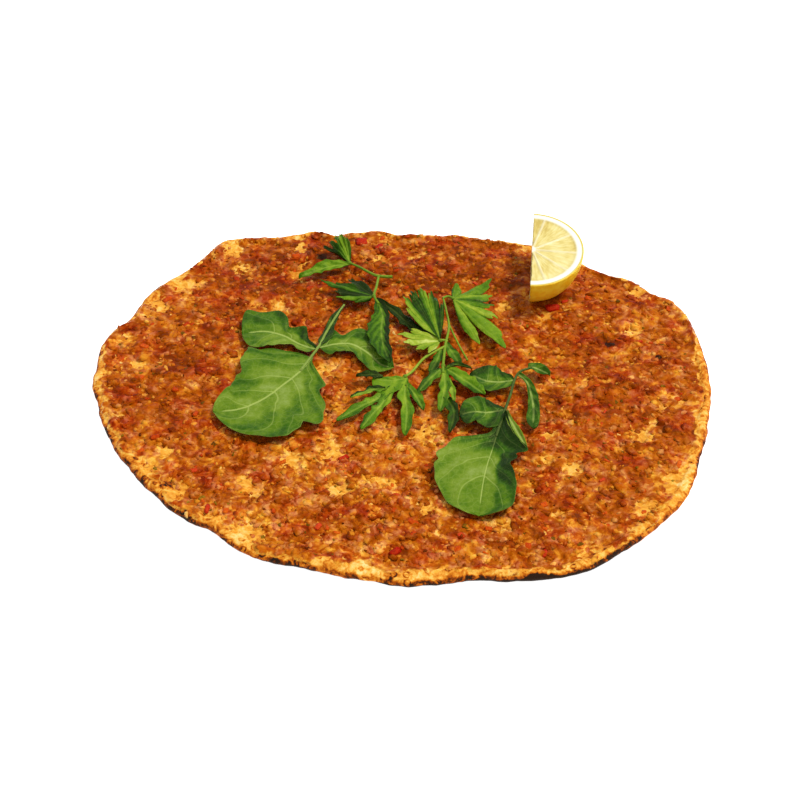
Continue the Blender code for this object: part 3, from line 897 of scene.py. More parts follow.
def chip(seed, stretch, worn):
    """A small cut piece of a vegetable, with worn edges."""
    bm = bmesh.new()
    bmesh.ops.create_cube(bm, size=CHIP_CUBE)
    bmesh.ops.bevel(
        bm, geom=bm.edges[:], offset=worn, affect="EDGES", segments=1, profile=0.5, material=-1
    )
    for vert in bm.verts:
        place = vert.co * CHIP_DETAIL + Vector((seed * CHIP_STEP, 0, 0))
        vert.co *= 1 + CHIP_ROUGHNESS * noise.noise(place)
    bmesh.ops.scale(bm, vec=stretch, verts=bm.verts)
    bmesh.ops.triangulate(bm, faces=bm.faces)
    return bm


def shape_arrays(bm):
    """The points and triangles of a small shape, which is freed."""
    bm.verts.index_update()
    points = np.array([vert.co[:] for vert in bm.verts])
    corners = np.array([[vert.index for vert in face.verts] for face in bm.faces])
    bm.free()
    return points, corners


def joined_copies(shapes, places):
    """One mesh of copies of the shapes, each with its matrix and its tone."""
    arrays = [shape_arrays(shape) for shape in shapes]
    points, corners, tones, start = [], [], [], 0
    for k, (matrix, tone) in enumerate(places):
        own, triangles = arrays[k % len(arrays)]
        turned = np.array(matrix)
        points.append(own @ turned[:3, :3].T + turned[:3, 3])
        corners.append(triangles + start)
        tones.append(np.full(len(own), tone))
        start += len(own)
    mesh = bpy.data.meshes.new("copies")
    mesh.from_pydata(np.vstack(points).tolist(), [], np.vstack(corners).tolist())
    values = mesh.attributes.new("tone", "FLOAT", "POINT")
    values.data.foreach_set("value", np.concatenate(tones).astype(np.float32))
    bm = bmesh.new()
    bm.from_mesh(mesh)
    bpy.data.meshes.remove(mesh)
    return bm


def placed(x, y, level, size, turn, tilt):
    """The matrix of a small piece at a place in the mince."""
    lean = Matrix.Rotation(tilt[0], 4, "X") @ Matrix.Rotation(tilt[1], 4, "Y")
    turned = lean @ Matrix.Rotation(turn, 4, "Z")
    return Matrix.Translation((x, y, level)) @ turned @ Matrix.Scale(size, 4)


def scattered(draw, count, sizes, sink, shun_thin, tilt):
    """Random places in the mince, clear of its edge, its thin places and the lemon."""
    places = []
    while len(places) < count:
        angle = draw.uniform(-math.pi, math.pi)
        radius = math.sqrt(draw.random()) * edge_at(angle)[0]
        size = sizes[0] + (sizes[1] - sizes[0]) * draw.random() ** SMALL_SIZES
        chance, own, turn = draw.random(), draw.random(), draw.uniform(0, 2 * math.pi)
        lean = (draw.uniform(-tilt, tilt), draw.uniform(-tilt, tilt))
        x, y = radius * math.cos(angle), radius * math.sin(angle)
        if math.dist((x, y), LEMON_FOOT) < LEMON_FOOT_RADIUS:
            continue
        level, thin, depth = mince_ground(angle, radius)
        if depth < EDGE_CLEARANCE * size or chance < shun_thin * thin:
            continue
        tone = min(max(MEAN_TONE + OWN_TONE * (own - 0.5) + cloud(x, y), 0), 1)
        places.append((placed(x, y, level - sink * size, size, turn, lean), tone))
    return places


def laid(pieces, sink):
    """Places of the named pieces, from x, y, half length and turn in degrees."""
    places = []
    for k, (x, y, size, turn) in enumerate(pieces):
        level = mince_ground(math.atan2(y, x), math.hypot(x, y))[0]
        matrix = placed(x, y, level - sink * size, size, math.radians(turn), (LAID_TILT,) * 2)
        places.append((matrix, LAID_TONE + LAID_TONE_STEP * k))
    return places


def pebbles(seed, subdivisions, count, sizes, shun_thin=0.85, sink=0.36):
    """Crumbs or lumps of mince."""
    draw = random.Random(seed)
    shapes = []
    for k in range(SHAPES_EACH):
        stretch = (1.0, draw.uniform(0.45, 0.9), draw.uniform(0.4, 0.62))
        shapes.append(pebble(seed + k, subdivisions, stretch))
    return joined_copies(shapes, scattered(draw, count, sizes, sink, shun_thin, CRUMB_TILT))


def chips(seed, count, sizes, flatness, pieces=(), sink=0.2, worn=0.35, shun_thin=0.5):
    """Cut bits of vegetable, and the large ones among them."""
    draw = random.Random(seed)
    shapes = []
    for k in range(SHAPES_EACH):
        shapes.append(chip(seed + k, (1.0, draw.uniform(0.4, 0.85), flatness), worn))
    places = laid(pieces, sink) + scattered(draw, count, sizes, sink, shun_thin, CHIP_TILT)
    return joined_copies(shapes, places)


# Lemon

def arc_grid(bm, columns, rows, point_at):
    """A grid of quads, whose points come from the shares of its two directions."""
    made = bmesh.ops.create_grid(bm, x_segments=columns, y_segments=rows, size=1)["verts"]
    for vert in made:
        vert.co = point_at((vert.co.x + 1) / 2, (vert.co.y + 1) / 2)


def membrane_turn(share):
    """Angle on the cut face, in radians, with as many grid steps to each segment."""
    place = share * (len(LEMON_MEMBRANES) - 1)
    i = min(int(place), len(LEMON_MEMBRANES) - 2)
    low, high = LEMON_MEMBRANES[i], LEMON_MEMBRANES[i + 1]
    return math.radians(low + (high - low) * (place - i))


def face_point(turn, reach):
    return polar(membrane_turn(turn), LEMON_RADIUS * reach, 0)


def wall_point(turn, reach):
    out = LEMON_RADIUS * reach
    angle = math.pi * turn
    return Vector((0, out * math.cos(angle), -out * LEMON_POINT * math.sin(angle)))


def peel_point(turn, down):
    angle, fall = membrane_turn(turn), math.pi / 2 * down
    out = LEMON_RADIUS * math.cos(fall)
    return polar(angle, out, -LEMON_RADIUS * LEMON_POINT * math.sin(fall))


def membrane_distance(point):
    """Distance of a point of the cut face from the nearest wall between two segments."""
    out = math.hypot(point.x, point.y)
    angle = math.degrees(math.atan2(point.y, point.x))
    nearest = min(abs(angle - at) for at in LEMON_MEMBRANES[1:-1])
    return out * math.radians(nearest)


def sunk_flesh(point, reach):
    """How far the flesh lies below the pith and the membranes, with its juice sacs."""
    out = math.hypot(point.x, point.y)
    flesh = ease((FLESH_REACH - reach) / FLESH_EDGE)
    flesh *= ease((out - LEMON_CORE_RADIUS) / LEMON_CORE_BLUR)
    flesh *= ease(membrane_distance(point) / MEMBRANE_WIDTH)
    sacs = noise.noise(point / SAC_SIZE + Vector((0, 0, 4)))
    return flesh * (FLESH_DEPTH - SAC_HEIGHT * sacs)


def lemon_quarter():
    """A quarter of a lemon: a face cut across its segments, a face cut along them, and peel."""
    bm = bmesh.new()
    reach_values, turn_values = layer(bm, "reach"), layer(bm, "turn")
    wall_values = layer(bm, "membrane")
    steps = LEMON_STEPS * (len(LEMON_MEMBRANES) - 1)
    arc_grid(bm, steps, LEMON_RINGS, face_point)
    arc_grid(bm, 2 * LEMON_PEEL_ROWS, LEMON_RINGS, wall_point)
    arc_grid(bm, steps, LEMON_PEEL_ROWS, peel_point)
    bmesh.ops.remove_doubles(bm, verts=bm.verts, dist=LEMON_WELD)
    bmesh.ops.recalc_face_normals(bm, faces=bm.faces)
    for vert in bm.verts:
        point = vert.co.copy()
        reach = Vector((point.x, point.y, point.z / LEMON_POINT)).length / LEMON_RADIUS
        vert[reach_values] = reach
        on_wall = point.x < FACE_DEPTH and point.z < -FACE_DEPTH
        vert[turn_values] = math.atan2(point.z, point.y) if on_wall else math.atan2(point.y, point.x)
        vert[wall_values] = membrane_distance(point)
        inside = min(point.x, -point.z)
        if point.z > -FACE_DEPTH:
            vert.co.z -= sunk_flesh(point, reach)
        if point.x < FACE_DEPTH:
            vert.co.x += sunk_flesh(point, reach)
        if inside > FACE_DEPTH:
            dimple = noise.voronoi(point / DIMPLE_SIZE)[0][0]
            pit = DIMPLE_DEPTH * ease(1 - dimple / DIMPLE_WIDTH) * ease(inside / DIMPLE_FADE)
            wave = PEEL_WAVE * noise.noise(point / PEEL_WAVE_SIZE) * ease(inside / PEEL_WAVE_FADE)
            vert.co -= point.normalized() * (pit + wave)
    lean = Matrix.Rotation(math.radians(LEMON_LEAN), 4, "X")
    yaw = Matrix.Rotation(math.radians(LEMON_YAW), 4, "Z")
    foot = LEMON_REST + GAP
    place = Matrix.Translation((*LEMON_CORE, foot + LEMON_HEIGHT))
    bmesh.ops.transform(bm, matrix=place @ yaw @ lean, verts=bm.verts)
    geom = bm.verts[:] + bm.edges[:] + bm.faces[:]
    cut = bmesh.ops.bisect_plane(
        bm, geom=geom, plane_co=(0, 0, foot), plane_no=(0, 0, -1), clear_outer=True
    )
    rim = [e for e in cut["geom_cut"] if isinstance(e, bmesh.types.BMEdge) and e.is_boundary]
    close_end(bm, rim)
    return bm


# Herbs
# A script worked out the rocket's half-widths, from outlines traced on the photo

def lifted(points):
    """Points of (x, y, lift above the herbs' bed)."""
    return [Vector((x, y, HERB_BED + lift)) for x, y, lift in points]


def leaf_layers(bm):
    """A leaf's values: distance from its rib, place along its side veins, tint and painted shade, and
    margin share.
    """
    names = ("rib", "run", "tint_and_shade", "side")
    for name in names:
        layer(bm, name)
    return [layer(bm, name) for name in names]


def sheet(bm, verts):
    """Gives the new leaf its thickness."""
    faces = list({face for vert in verts for face in vert.link_faces})
    bmesh.ops.triangulate(bm, faces=faces)
    faces = list({face for vert in verts for face in vert.link_faces})
    grown = bmesh.ops.extrude_face_region(bm, geom=faces)["geom"]
    lower = [vert for vert in grown if isinstance(vert, bmesh.types.BMVert)]
    bmesh.ops.translate(bm, vec=(0, 0, -LEAF_THICKNESS), verts=lower)


def blade(
    bm,
    spine,
    left,
    right,
    curl=(1.0, 1.0),
    ripple=0.5,
    veins=6,
    sweep=VEIN_SWEEP,
    tint_and_shade=0.5,
    tints_and_shade=None,
    teeth=(0, 0.0),
    notches=(),
    rib_size=1.0,
):
    """A leaf blade along a curved spine, with its own half-width, curl and tints on each side; the tints
    paint light and shade as well as colour.
    """
    rib_values, run_values, tint_and_shade_values, side_values = leaf_layers(bm)
    points = lifted(spine)
    length = sum((b - a).length for a, b in zip(points, points[1:]))
    columns = max(round(length / LEAF_GRAIN), 8)
    rows = 2 * max(round(max(*left, *right) / LEAF_GRAIN), 3)
    made = bmesh.ops.create_grid(bm, x_segments=columns, y_segments=rows, size=1)["verts"]
    for vert in made:
        share, side = (vert.co.x + 1) / 2, vert.co.y
        ahead = along(points, share + STEP) - along(points, share - STEP)
        sideways = Vector((-ahead.y, ahead.x, 0)).normalized()
        half_width = max(along(left if side > 0 else right, share), TIP_HALF_WIDTH)
        rounding = end_rounding(share)
        half_width *= rounding * margin_shape(share, side, teeth, notches)
        rise = curl[0] if side > 0 else curl[1]
        run = (share - sweep * abs(side) ** VEIN_CURVE) * veins
        rib = abs(side) * half_width
        place = along(points, share) + sideways * side * half_width
        wave = math.sin(RIPPLES * share + 2 * side)
        place.z += rounding * rise * side * side + ripple * abs(side) * wave
        place.z += RUFFLE * side * side * noise.noise(place / RUFFLE_SIZE)
        run += VEIN_WANDER * noise.noise(place / VEIN_WANDER_SIZE)
        place.z -= VEIN_RELIEF * (math.exp(-((rib / RIB_WIDTH) ** 2)) + vein_groove(run, side))
        puff = ease(2 * abs(side)) * ease(2 - 2 * abs(side))
        place.z += QUILT * puff * math.sin(math.pi * (run % 1)) ** 2
        vert.co = place
        vert[rib_values] = rib / rib_size + 2 * ease((share - VEINLESS_TIP) / VEINLESS_FADE)
        vert[run_values] = min(run, veins - VEINLESS_END)
        vert[tint_and_shade_values] = tint_and_shade_at(tints_and_shade, share, side) if tints_and_shade else tint_and_shade
        vert[side_values] = abs(side)
    sheet(bm, made)


def tint_and_shade_at(tints_and_shade, share, side):
    """A blade's tint with painted light and shade, from its tints along the rib, the left side and the
    right side.
    """
    middle, left, right = tints_and_shade
    past = ease((abs(side) - CREASE) / CREASE_WIDTH + 0.5)
    outer = along(left if side > 0 else right, share)
    return along(middle, share) * (1 - past) + outer * past


def end_rounding(share):
    """Draws a blade's ends in, so that they are round and not cut off."""
    past = max(0.0, abs(2 * share - 1) - 1 + 2 * END_ROUNDING) / (2 * END_ROUNDING)
    return math.sqrt(max(1 - past * past, 0.02))


def margin_shape(share, side, teeth, notches):
    """The part of the half-width that the teeth and notches of the margin leave."""
    count, depth = teeth
    left_over = 1 - depth * abs(math.sin(math.pi * count * share)) if count else 1
    left_over += MARGIN_WAVE * noise.noise(Vector((share * MARGIN_WAVES, MARGIN_SHIFT * (side > 0), count)))
    for at, which, cut, spread in notches:
        if which * side > 0:
            left_over -= cut * math.exp(-(((share - at) / spread) ** 2))
    return left_over


def vein_groove(run, side):
    """The side veins' share of the rib's depth."""
    off = abs(run % 1 - 0.5)
    groove = SIDE_VEIN_DEPTH * math.exp(-((off / SIDE_VEIN_WIDTH) ** 2))
    return groove * ease(SIDE_VEIN_REACH - abs(side))


def fan(bm, base, margin, rise=1.5, pleat=0.5, tints_and_shade=(0.5, 0.5)):
    """A parsley leaflet that fans out from its stalk, with an angle and reach at each tip and notch.

    Its tints paint light and shade as well as colour, and they are evenly spaced across the fan.
    """
    rib_values, run_values, tint_and_shade_values, side_values = leaf_layers(bm)
    last = len(margin) - 1
    rows = max(round(max(reach for _, reach in margin) / LEAF_GRAIN), 4)
    made = bmesh.ops.create_grid(bm, x_segments=last * FAN_COLUMNS, y_segments=rows, size=1)["verts"]
    root = lifted([base])[0]
    tips = fan_tips(margin)
    for vert in made:
        which, share = (vert.co.x + 1) / 2 * last, (vert.co.y + 1) / 2
        i = min(int(which), last - 1)
        f = which - i
        (angle, reach), (next_angle, next_reach) = margin[i], margin[i + 1]
        reach = lobe(reach, next_reach, f)
        angle += (next_angle - angle) * f
        reach *= 1 + FAN_TEETH * (abs(math.sin(FAN_TOOTH_RATE * math.pi * which)) - 0.5)
        out = FAN_ROOT + share * (reach - FAN_ROOT)
        finger = ease((share - FAN_HEART) / (1 - FAN_HEART))
        fold = -pleat * math.cos(math.pi * which) * finger
        rib = out * math.radians(min(abs(angle - tip) for tip in tips))
        place = root + polar(math.radians(angle), out, rise * share + fold)
        place.z += FAN_RUFFLE * share * noise.noise(place / FAN_RUFFLE_SIZE)
        place.z -= VEIN_RELIEF * math.exp(-((rib / RIB_WIDTH) ** 2))
        vert.co = place
        # Painted shade: dark slits in the valleys where two fingers meet
        valley_shade = max(math.cos(math.pi * which), 0.0) ** VALLEY_SHARPNESS
        own = noise.noise(Vector((math.floor(which / 2) * FINGER_STEP, base[0], base[1])))
        change = (FINGER_CHANGE * own * (1 - valley_shade) - FINGER_SHADE * valley_shade) * finger
        vert[rib_values] = rib + FAN_RIB + 2 * ease((share - VEINLESS_TIP) / VEINLESS_FADE)
        vert[run_values] = 0
        vert[tint_and_shade_values] = along(tints_and_shade, which / last) + change
        vert[side_values] = share
    sheet(bm, made)


def lobe(reach, next_reach, share):
    """Reach between a notch and a tip, with a narrow notch and a broad tip."""
    if next_reach > reach:
        return next_reach - (next_reach - reach) * (1 - share) ** LOBE_BREADTH
    return reach - (reach - next_reach) * share ** LOBE_BREADTH


def fan_tips(margin):
    """Angles of the teeth of a fan: where its margin reaches further than on both sides."""
    reaches = [reach for _, reach in margin]
    return [
        margin[k][0]
        for k in range(1, len(margin) - 1)
        if reaches[k] >= reaches[k - 1] and reaches[k] >= reaches[k + 1]
    ]


def stalk(bm, points, radius, end_radius, tint_and_shade=0.7):
    """A tapered round stalk."""
    rib_values, _, tint_and_shade_values, _ = leaf_layers(bm)
    curve = bpy.data.curves.new("stalk", "CURVE")
    curve.dimensions = "3D"
    curve.bevel_depth = 1
    curve.bevel_resolution = 3
    curve.use_fill_caps = True
    spline = curve.splines.new("POLY")
    path = lifted(points)
    count = STALK_STEPS * (len(path) - 1) + 1
    spline.points.add(count - 1)
    for k, point in enumerate(spline.points):
        share = k / (count - 1)
        point.co = (*along(path, share), 1)
        point.radius = radius + (end_radius - radius) * share
    tube = bpy.data.objects.new("stalk", curve)
    bpy.context.scene.collection.objects.link(tube)
    graph = bpy.context.evaluated_depsgraph_get()
    mesh = bpy.data.meshes.new_from_object(tube.evaluated_get(graph))
    bpy.data.objects.remove(tube)
    before = set(bm.verts)
    bm.from_mesh(mesh)
    bpy.data.meshes.remove(mesh)
    made = [vert for vert in bm.verts if vert not in before]
    for vert in made:
        vert[rib_values] = STALK_PALENESS
        vert[tint_and_shade_values] = tint_and_shade
    bmesh.ops.remove_doubles(bm, verts=made, dist=STALK_WELD)


def knuckle(bm, point, radius=1.0):
    """The small swelling where leaflets leave a stalk."""
    rib_values, _, tint_and_shade_values, _ = leaf_layers(bm)
    spot = Matrix.Translation(lifted([point])[0])
    made = bmesh.ops.create_icosphere(bm, subdivisions=2, radius=radius, matrix=spot)["verts"]
    for vert in made:
        vert[rib_values] = STALK_PALENESS
        vert[tint_and_shade_values] = KNUCKLE_TINT


def rocket_left():
    """The larger rocket leaf: a stalk, two side lobes and a broad end lobe."""
    bm = bmesh.new()
    stalk(
        bm,
        [(-29, 63, 1), (-34, 51, 1.2), (-38, 40, 1.2), (-41.5, 29.5, 1.2), (-50, 12, 0.6)],
        0.6,
        0.8,
        0.6,
    )
    # Each lobe's tints paint light and shade as well as its own green
    blade(
        bm,
        [
            (-44, 22, 1), (-50, 11.5, 1.2), (-58, 1.5, 1.3), (-68, -9.5, 1.3),
            (-80, -16.5, 1.2), (-92, -17, 0.8),
        ],
        left=(1, 3, 14, 18, 27, 31, 31, 29, 19, 9, 1),
        right=(1, 22, 30, 31, 29, 23, 21, 19, 17, 15, 4),
        curl=(1.2, 1.2),
        veins=5,
        sweep=0.36,
        tints_and_shade=((0.6, 0.9, 0.8, 0.8), (0.45, 0.6, 0.6, 0.55, 0.75), (0.45, 0.55, 0.7, 0.5, 0.7, 0.9)),
        notches=(
            (0.56, 1, 0.14, 0.018),
            (0.34, 1, -0.08, 0.03),
            (0.22, 1, -0.12, 0.03),
            (0.38, -1, 0.1, 0.04),
            (0.7, 1, 0.06, 0.03),
            (0.78, -1, 0.06, 0.04),
        ),
    )
    blade(
        bm,
        [(-42, 28, 1), (-51, 32, 1.2), (-59, 38, 1.5), (-69, 41.5, 1.5), (-81, 40.5, 1)],
        left=(1, 5, 5, 3, 6, 9, 12, 13, 13, 12, 5),
        right=(1, 3, 6, 9, 10, 6, 12, 17, 14, 16, 7),
        curl=(1.4, 1.0),
        veins=4,
        sweep=0.3,
        tints_and_shade=((0.4, 0.8, 0.7, 0.6), (0.5, 0.9, 0.9, 0.6, 0.7), (-0.2, 0.05, 0.4, 0.4, 0.5)),
    )
    blade(
        bm,
        [
            (-41, 29.5, 1), (-33, 32, 1.2), (-24.5, 32, 1.2), (-16, 25.5, 0.8),
            (-9.5, 17, 0.7), (-3, 15, 0.7),
        ],
        left=(1, 4, 11, 6, 12, 11, 10, 9, 8, 8, 1),
        right=(1, 7, 7, 7, 7, 6, 7, 7, 7, 4, 1),
        curl=(0.4, 0.8),
        ripple=0.2,
        veins=5,
        tints_and_shade=((0.4, 0.9, 0.6, 0.3), (0.1, 0.5, 0.2, 0.3), (0.5, 0.6, 0.5, 0.9)),
    )
    blade(
        bm,
        [(-40.5, 31.5, 1.2), (-38, 40.5, 1.4), (-34, 51.5, 1.2), (-29.5, 61.5, 1)],
        left=(1, 2, 1.5, 1.5, 2, 2, 1.5, 1),
        right=(1, 3.5, 4.5, 3.5, 2.5, 1.5, 1, 1),
        curl=(0.5, 0.8),
        veins=3,
        tint_and_shade=0.15,
    )
    return bm


def rocket_right():
    """The smaller rocket leaf, folded at its end lobe with painted shade on the fold, with small lobes
    along its stalk.
    """
    bm = bmesh.new()
    stalk(
        bm,
        [
            (66, 12, 3), (60, 9, 3), (57, 3, 3), (54.5, -8, 3.2), (52, -17, 3.4),
            (48, -31, 2.4), (46.5, -36, 1.4),
        ],
        0.6,
        0.8,
        0.1,
    )
    # Low tints paint the shade over the folded part of the end lobe and its dark upper corner
    blade(
        bm,
        [
            (50.5, -22, 3.2), (47.5, -33, 2.2), (44.5, -44, 1.2), (41.5, -55, 0.8),
            (39, -68.5, 0.8), (36.5, -88, 0.6),
        ],
        left=(1, 3, 6, 9, 14, 17, 14, 12, 13, 15, 16, 15.5, 11),
        right=(1, 2, 3, 4, 12, 19, 23, 25, 25, 24, 21, 15.5, 8),
        curl=(4.0, 1.2),
        ripple=0.4,
        veins=5,
        sweep=0.36,
        tints_and_shade=(
            (-0.1, -0.1, 0.1, 0.8, 0.9, 0.8, 0.8),
            (0.0, 0.0, 0.05, 0.1, 0.05, 0.2, 0.45, 0.5),
            (-0.1, 0.1, 0.4, 0.9, 0.8, 0.8, 0.7),
        ),
        notches=((0.47, 1, 0.2, 0.04), (0.62, -1, 0.1, 0.03), (0.36, -1, -0.1, 0.04)),
        rib_size=0.5,
    )
    # The folded-up edge of the end lobe: its pale tint is partly the paler underside and partly painted
    # light
    blade(
        bm,
        [(51.8, -21.5, 4.4), (55.7, -33.5, 4.6), (60.5, -47, 4.6)],
        left=(0.6, 1, 1.6, 1.4, 0.6),
        right=(0.6, 2, 2.6, 1.4, 0.6),
        veins=1,
        tint_and_shade=1.0,
    )
    blade(
        bm,
        [(51.5, -19, 3.4), (43, -21, 3.5), (36, -20.5, 3.5), (29, -22, 2.8)],
        left=(1, 6, 10, 10, 8, 7, 7, 7, 4),
        right=(1, 4, 8, 9, 10, 10, 9, 5, 1),
        curl=(0.8, 0.6),
        ripple=0.3,
        veins=4,
        tints_and_shade=((-0.1, 0.5, 0.4, 0.2), (0.0, 0.3, 0.4, 0.2), (-0.2, 0.2, 0.5, 0.3)),
    )
    blade(
        bm,
        [(57, 3, 3), (50, 2.5, 2.2), (42.5, 4.5, 1.3), (35, 10, 0.9)],
        left=(1, 4, 5, 6, 7, 7, 5, 2, 1),
        right=(1, 4, 6, 8, 11, 12, 11, 8, 1),
        curl=(0.2, 1.0),
        ripple=0.2,
        veins=4,
        tints_and_shade=((0.3, 0.7, 0.5, 0.2), (0.2, 0.6, 0.3, 0.2), (0.2, 0.3, 0.3, 0.2)),
    )
    blade(
        bm,
        [(58.5, 7, 3), (63, 2, 2.6), (65, -8, 2), (65.5, -18, 2), (64.5, -30, 1.5)],
        left=(0.6, 1.5, 2, 2.5, 3, 3, 3, 3, 2),
        right=(0.6, 1, 1.5, 1.5, 2, 2.5, 3, 3.5, 2),
        veins=5,
        tint_and_shade=0.4,
    )
    blade(
        bm,
        [(64, 12, 3), (67, 12, 3.2), (70.5, 10, 3), (75, 7, 2.5)],
        left=(1, 2.5, 3, 3, 2.5, 1),
        right=(1, 2.5, 3, 3, 2.5, 1),
        veins=3,
        tint_and_shade=0.4,
    )
    return bm


def parsley_back():
    """The parsley sprig at the back, with leaflets off both ends of its stalk."""
    bm = bmesh.new()
    fork = (-26.5, 96, 2.0)
    knot = (-13.5, 66, 4.5)
    stalk(
        bm,
        [(-26.5, 96, 2.0), (-21, 92, 2.2), (-16, 87.5, 2.4), (-11.5, 84.5, 2.6), (-4, 84, 2.4)],
        0.6,
        0.9,
    )
    knuckle(bm, fork)
    knuckle(bm, knot, 1.1)
    stalk(
        bm,
        [(-11.2, 84.5, 2.6), (-11.8, 79, 3.2), (-12.5, 73, 4.0), (-13.5, 66, 4.5), (-11, 60, 4.3)],
        0.7,
        0.7,
    )
    # The leaflets' tints paint light and shade as well as their own green
    fan(
        bm,
        fork,
        (
            (84, 3), (92, 14), (97, 20), (100, 17), (104, 24), (108, 20),
            (112, 23), (117, 14), (124, 20), (131, 12), (138, 20), (148, 3),
        ),
        rise=2.0,
        tints_and_shade=(0.4, 0.9, 0.5, 0.1),
    )
    blade(
        bm,
        [(-26, 95, 2), (-36, 93, 2.5), (-45, 89.5, 2), (-53.5, 85, 1)],
        left=(0.6, 2, 3, 3.5, 4, 3, 2, 0.6),
        right=(0.6, 2, 4, 4.5, 4, 3, 2, 0.6),
        curl=(0.5, 1.5),
        veins=4,
        tint_and_shade=0.75,
        teeth=(5, 0.3),
    )
    fan(
        bm,
        knot,
        (
            (100, 3), (118, 12), (130, 20), (141, 14), (150, 24), (154, 30), (160, 19),
            (168, 20), (174, 14), (180, 19), (190, 10), (202, 10), (220, 3),
        ),
        rise=-0.8,
        tints_and_shade=(-0.2, 0.0, 0.5, 0.0, 0.7, 0.3),
    )
    blade(
        bm,
        [(-12.5, 64, 4.4), (-9, 52, 4.4), (-9.5, 40, 4.2), (-8.5, 28.5, 4.2), (-5, 15, 4)],
        left=(0.6, 2.5, 3.5, 4, 4.5, 4, 3.5, 3, 1),
        right=(0.6, 3, 5, 7, 8, 7.5, 6, 4.5, 1),
        curl=(1.5, 0.5),
        ripple=0.2,
        veins=7,
        sweep=0.3,
        tints_and_shade=((0.4, 0.6, 0.5, 0.3), (0.0, 0.0, 0.1, 0.1), (0.3, 0.5, 0.5, 0.35)),
        teeth=(7, 0.12),
    )
    blade(
        bm,
        [(-12, 64.5, 4.4), (-3, 55.5, 3.2), (2.5, 49.5, 2.0), (8, 44, 1.0), (16.5, 40.5, 0.3)],
        left=(0.6, 2, 3.5, 4, 4, 3, 2, 0.6),
        right=(0.6, 2, 3, 3.5, 3.5, 3, 2, 0.6),
        curl=(0.4, 0.4),
        ripple=0.1,
        veins=5,
        tint_and_shade=-0.2,
        teeth=(4, 0.3),
    )
    return bm


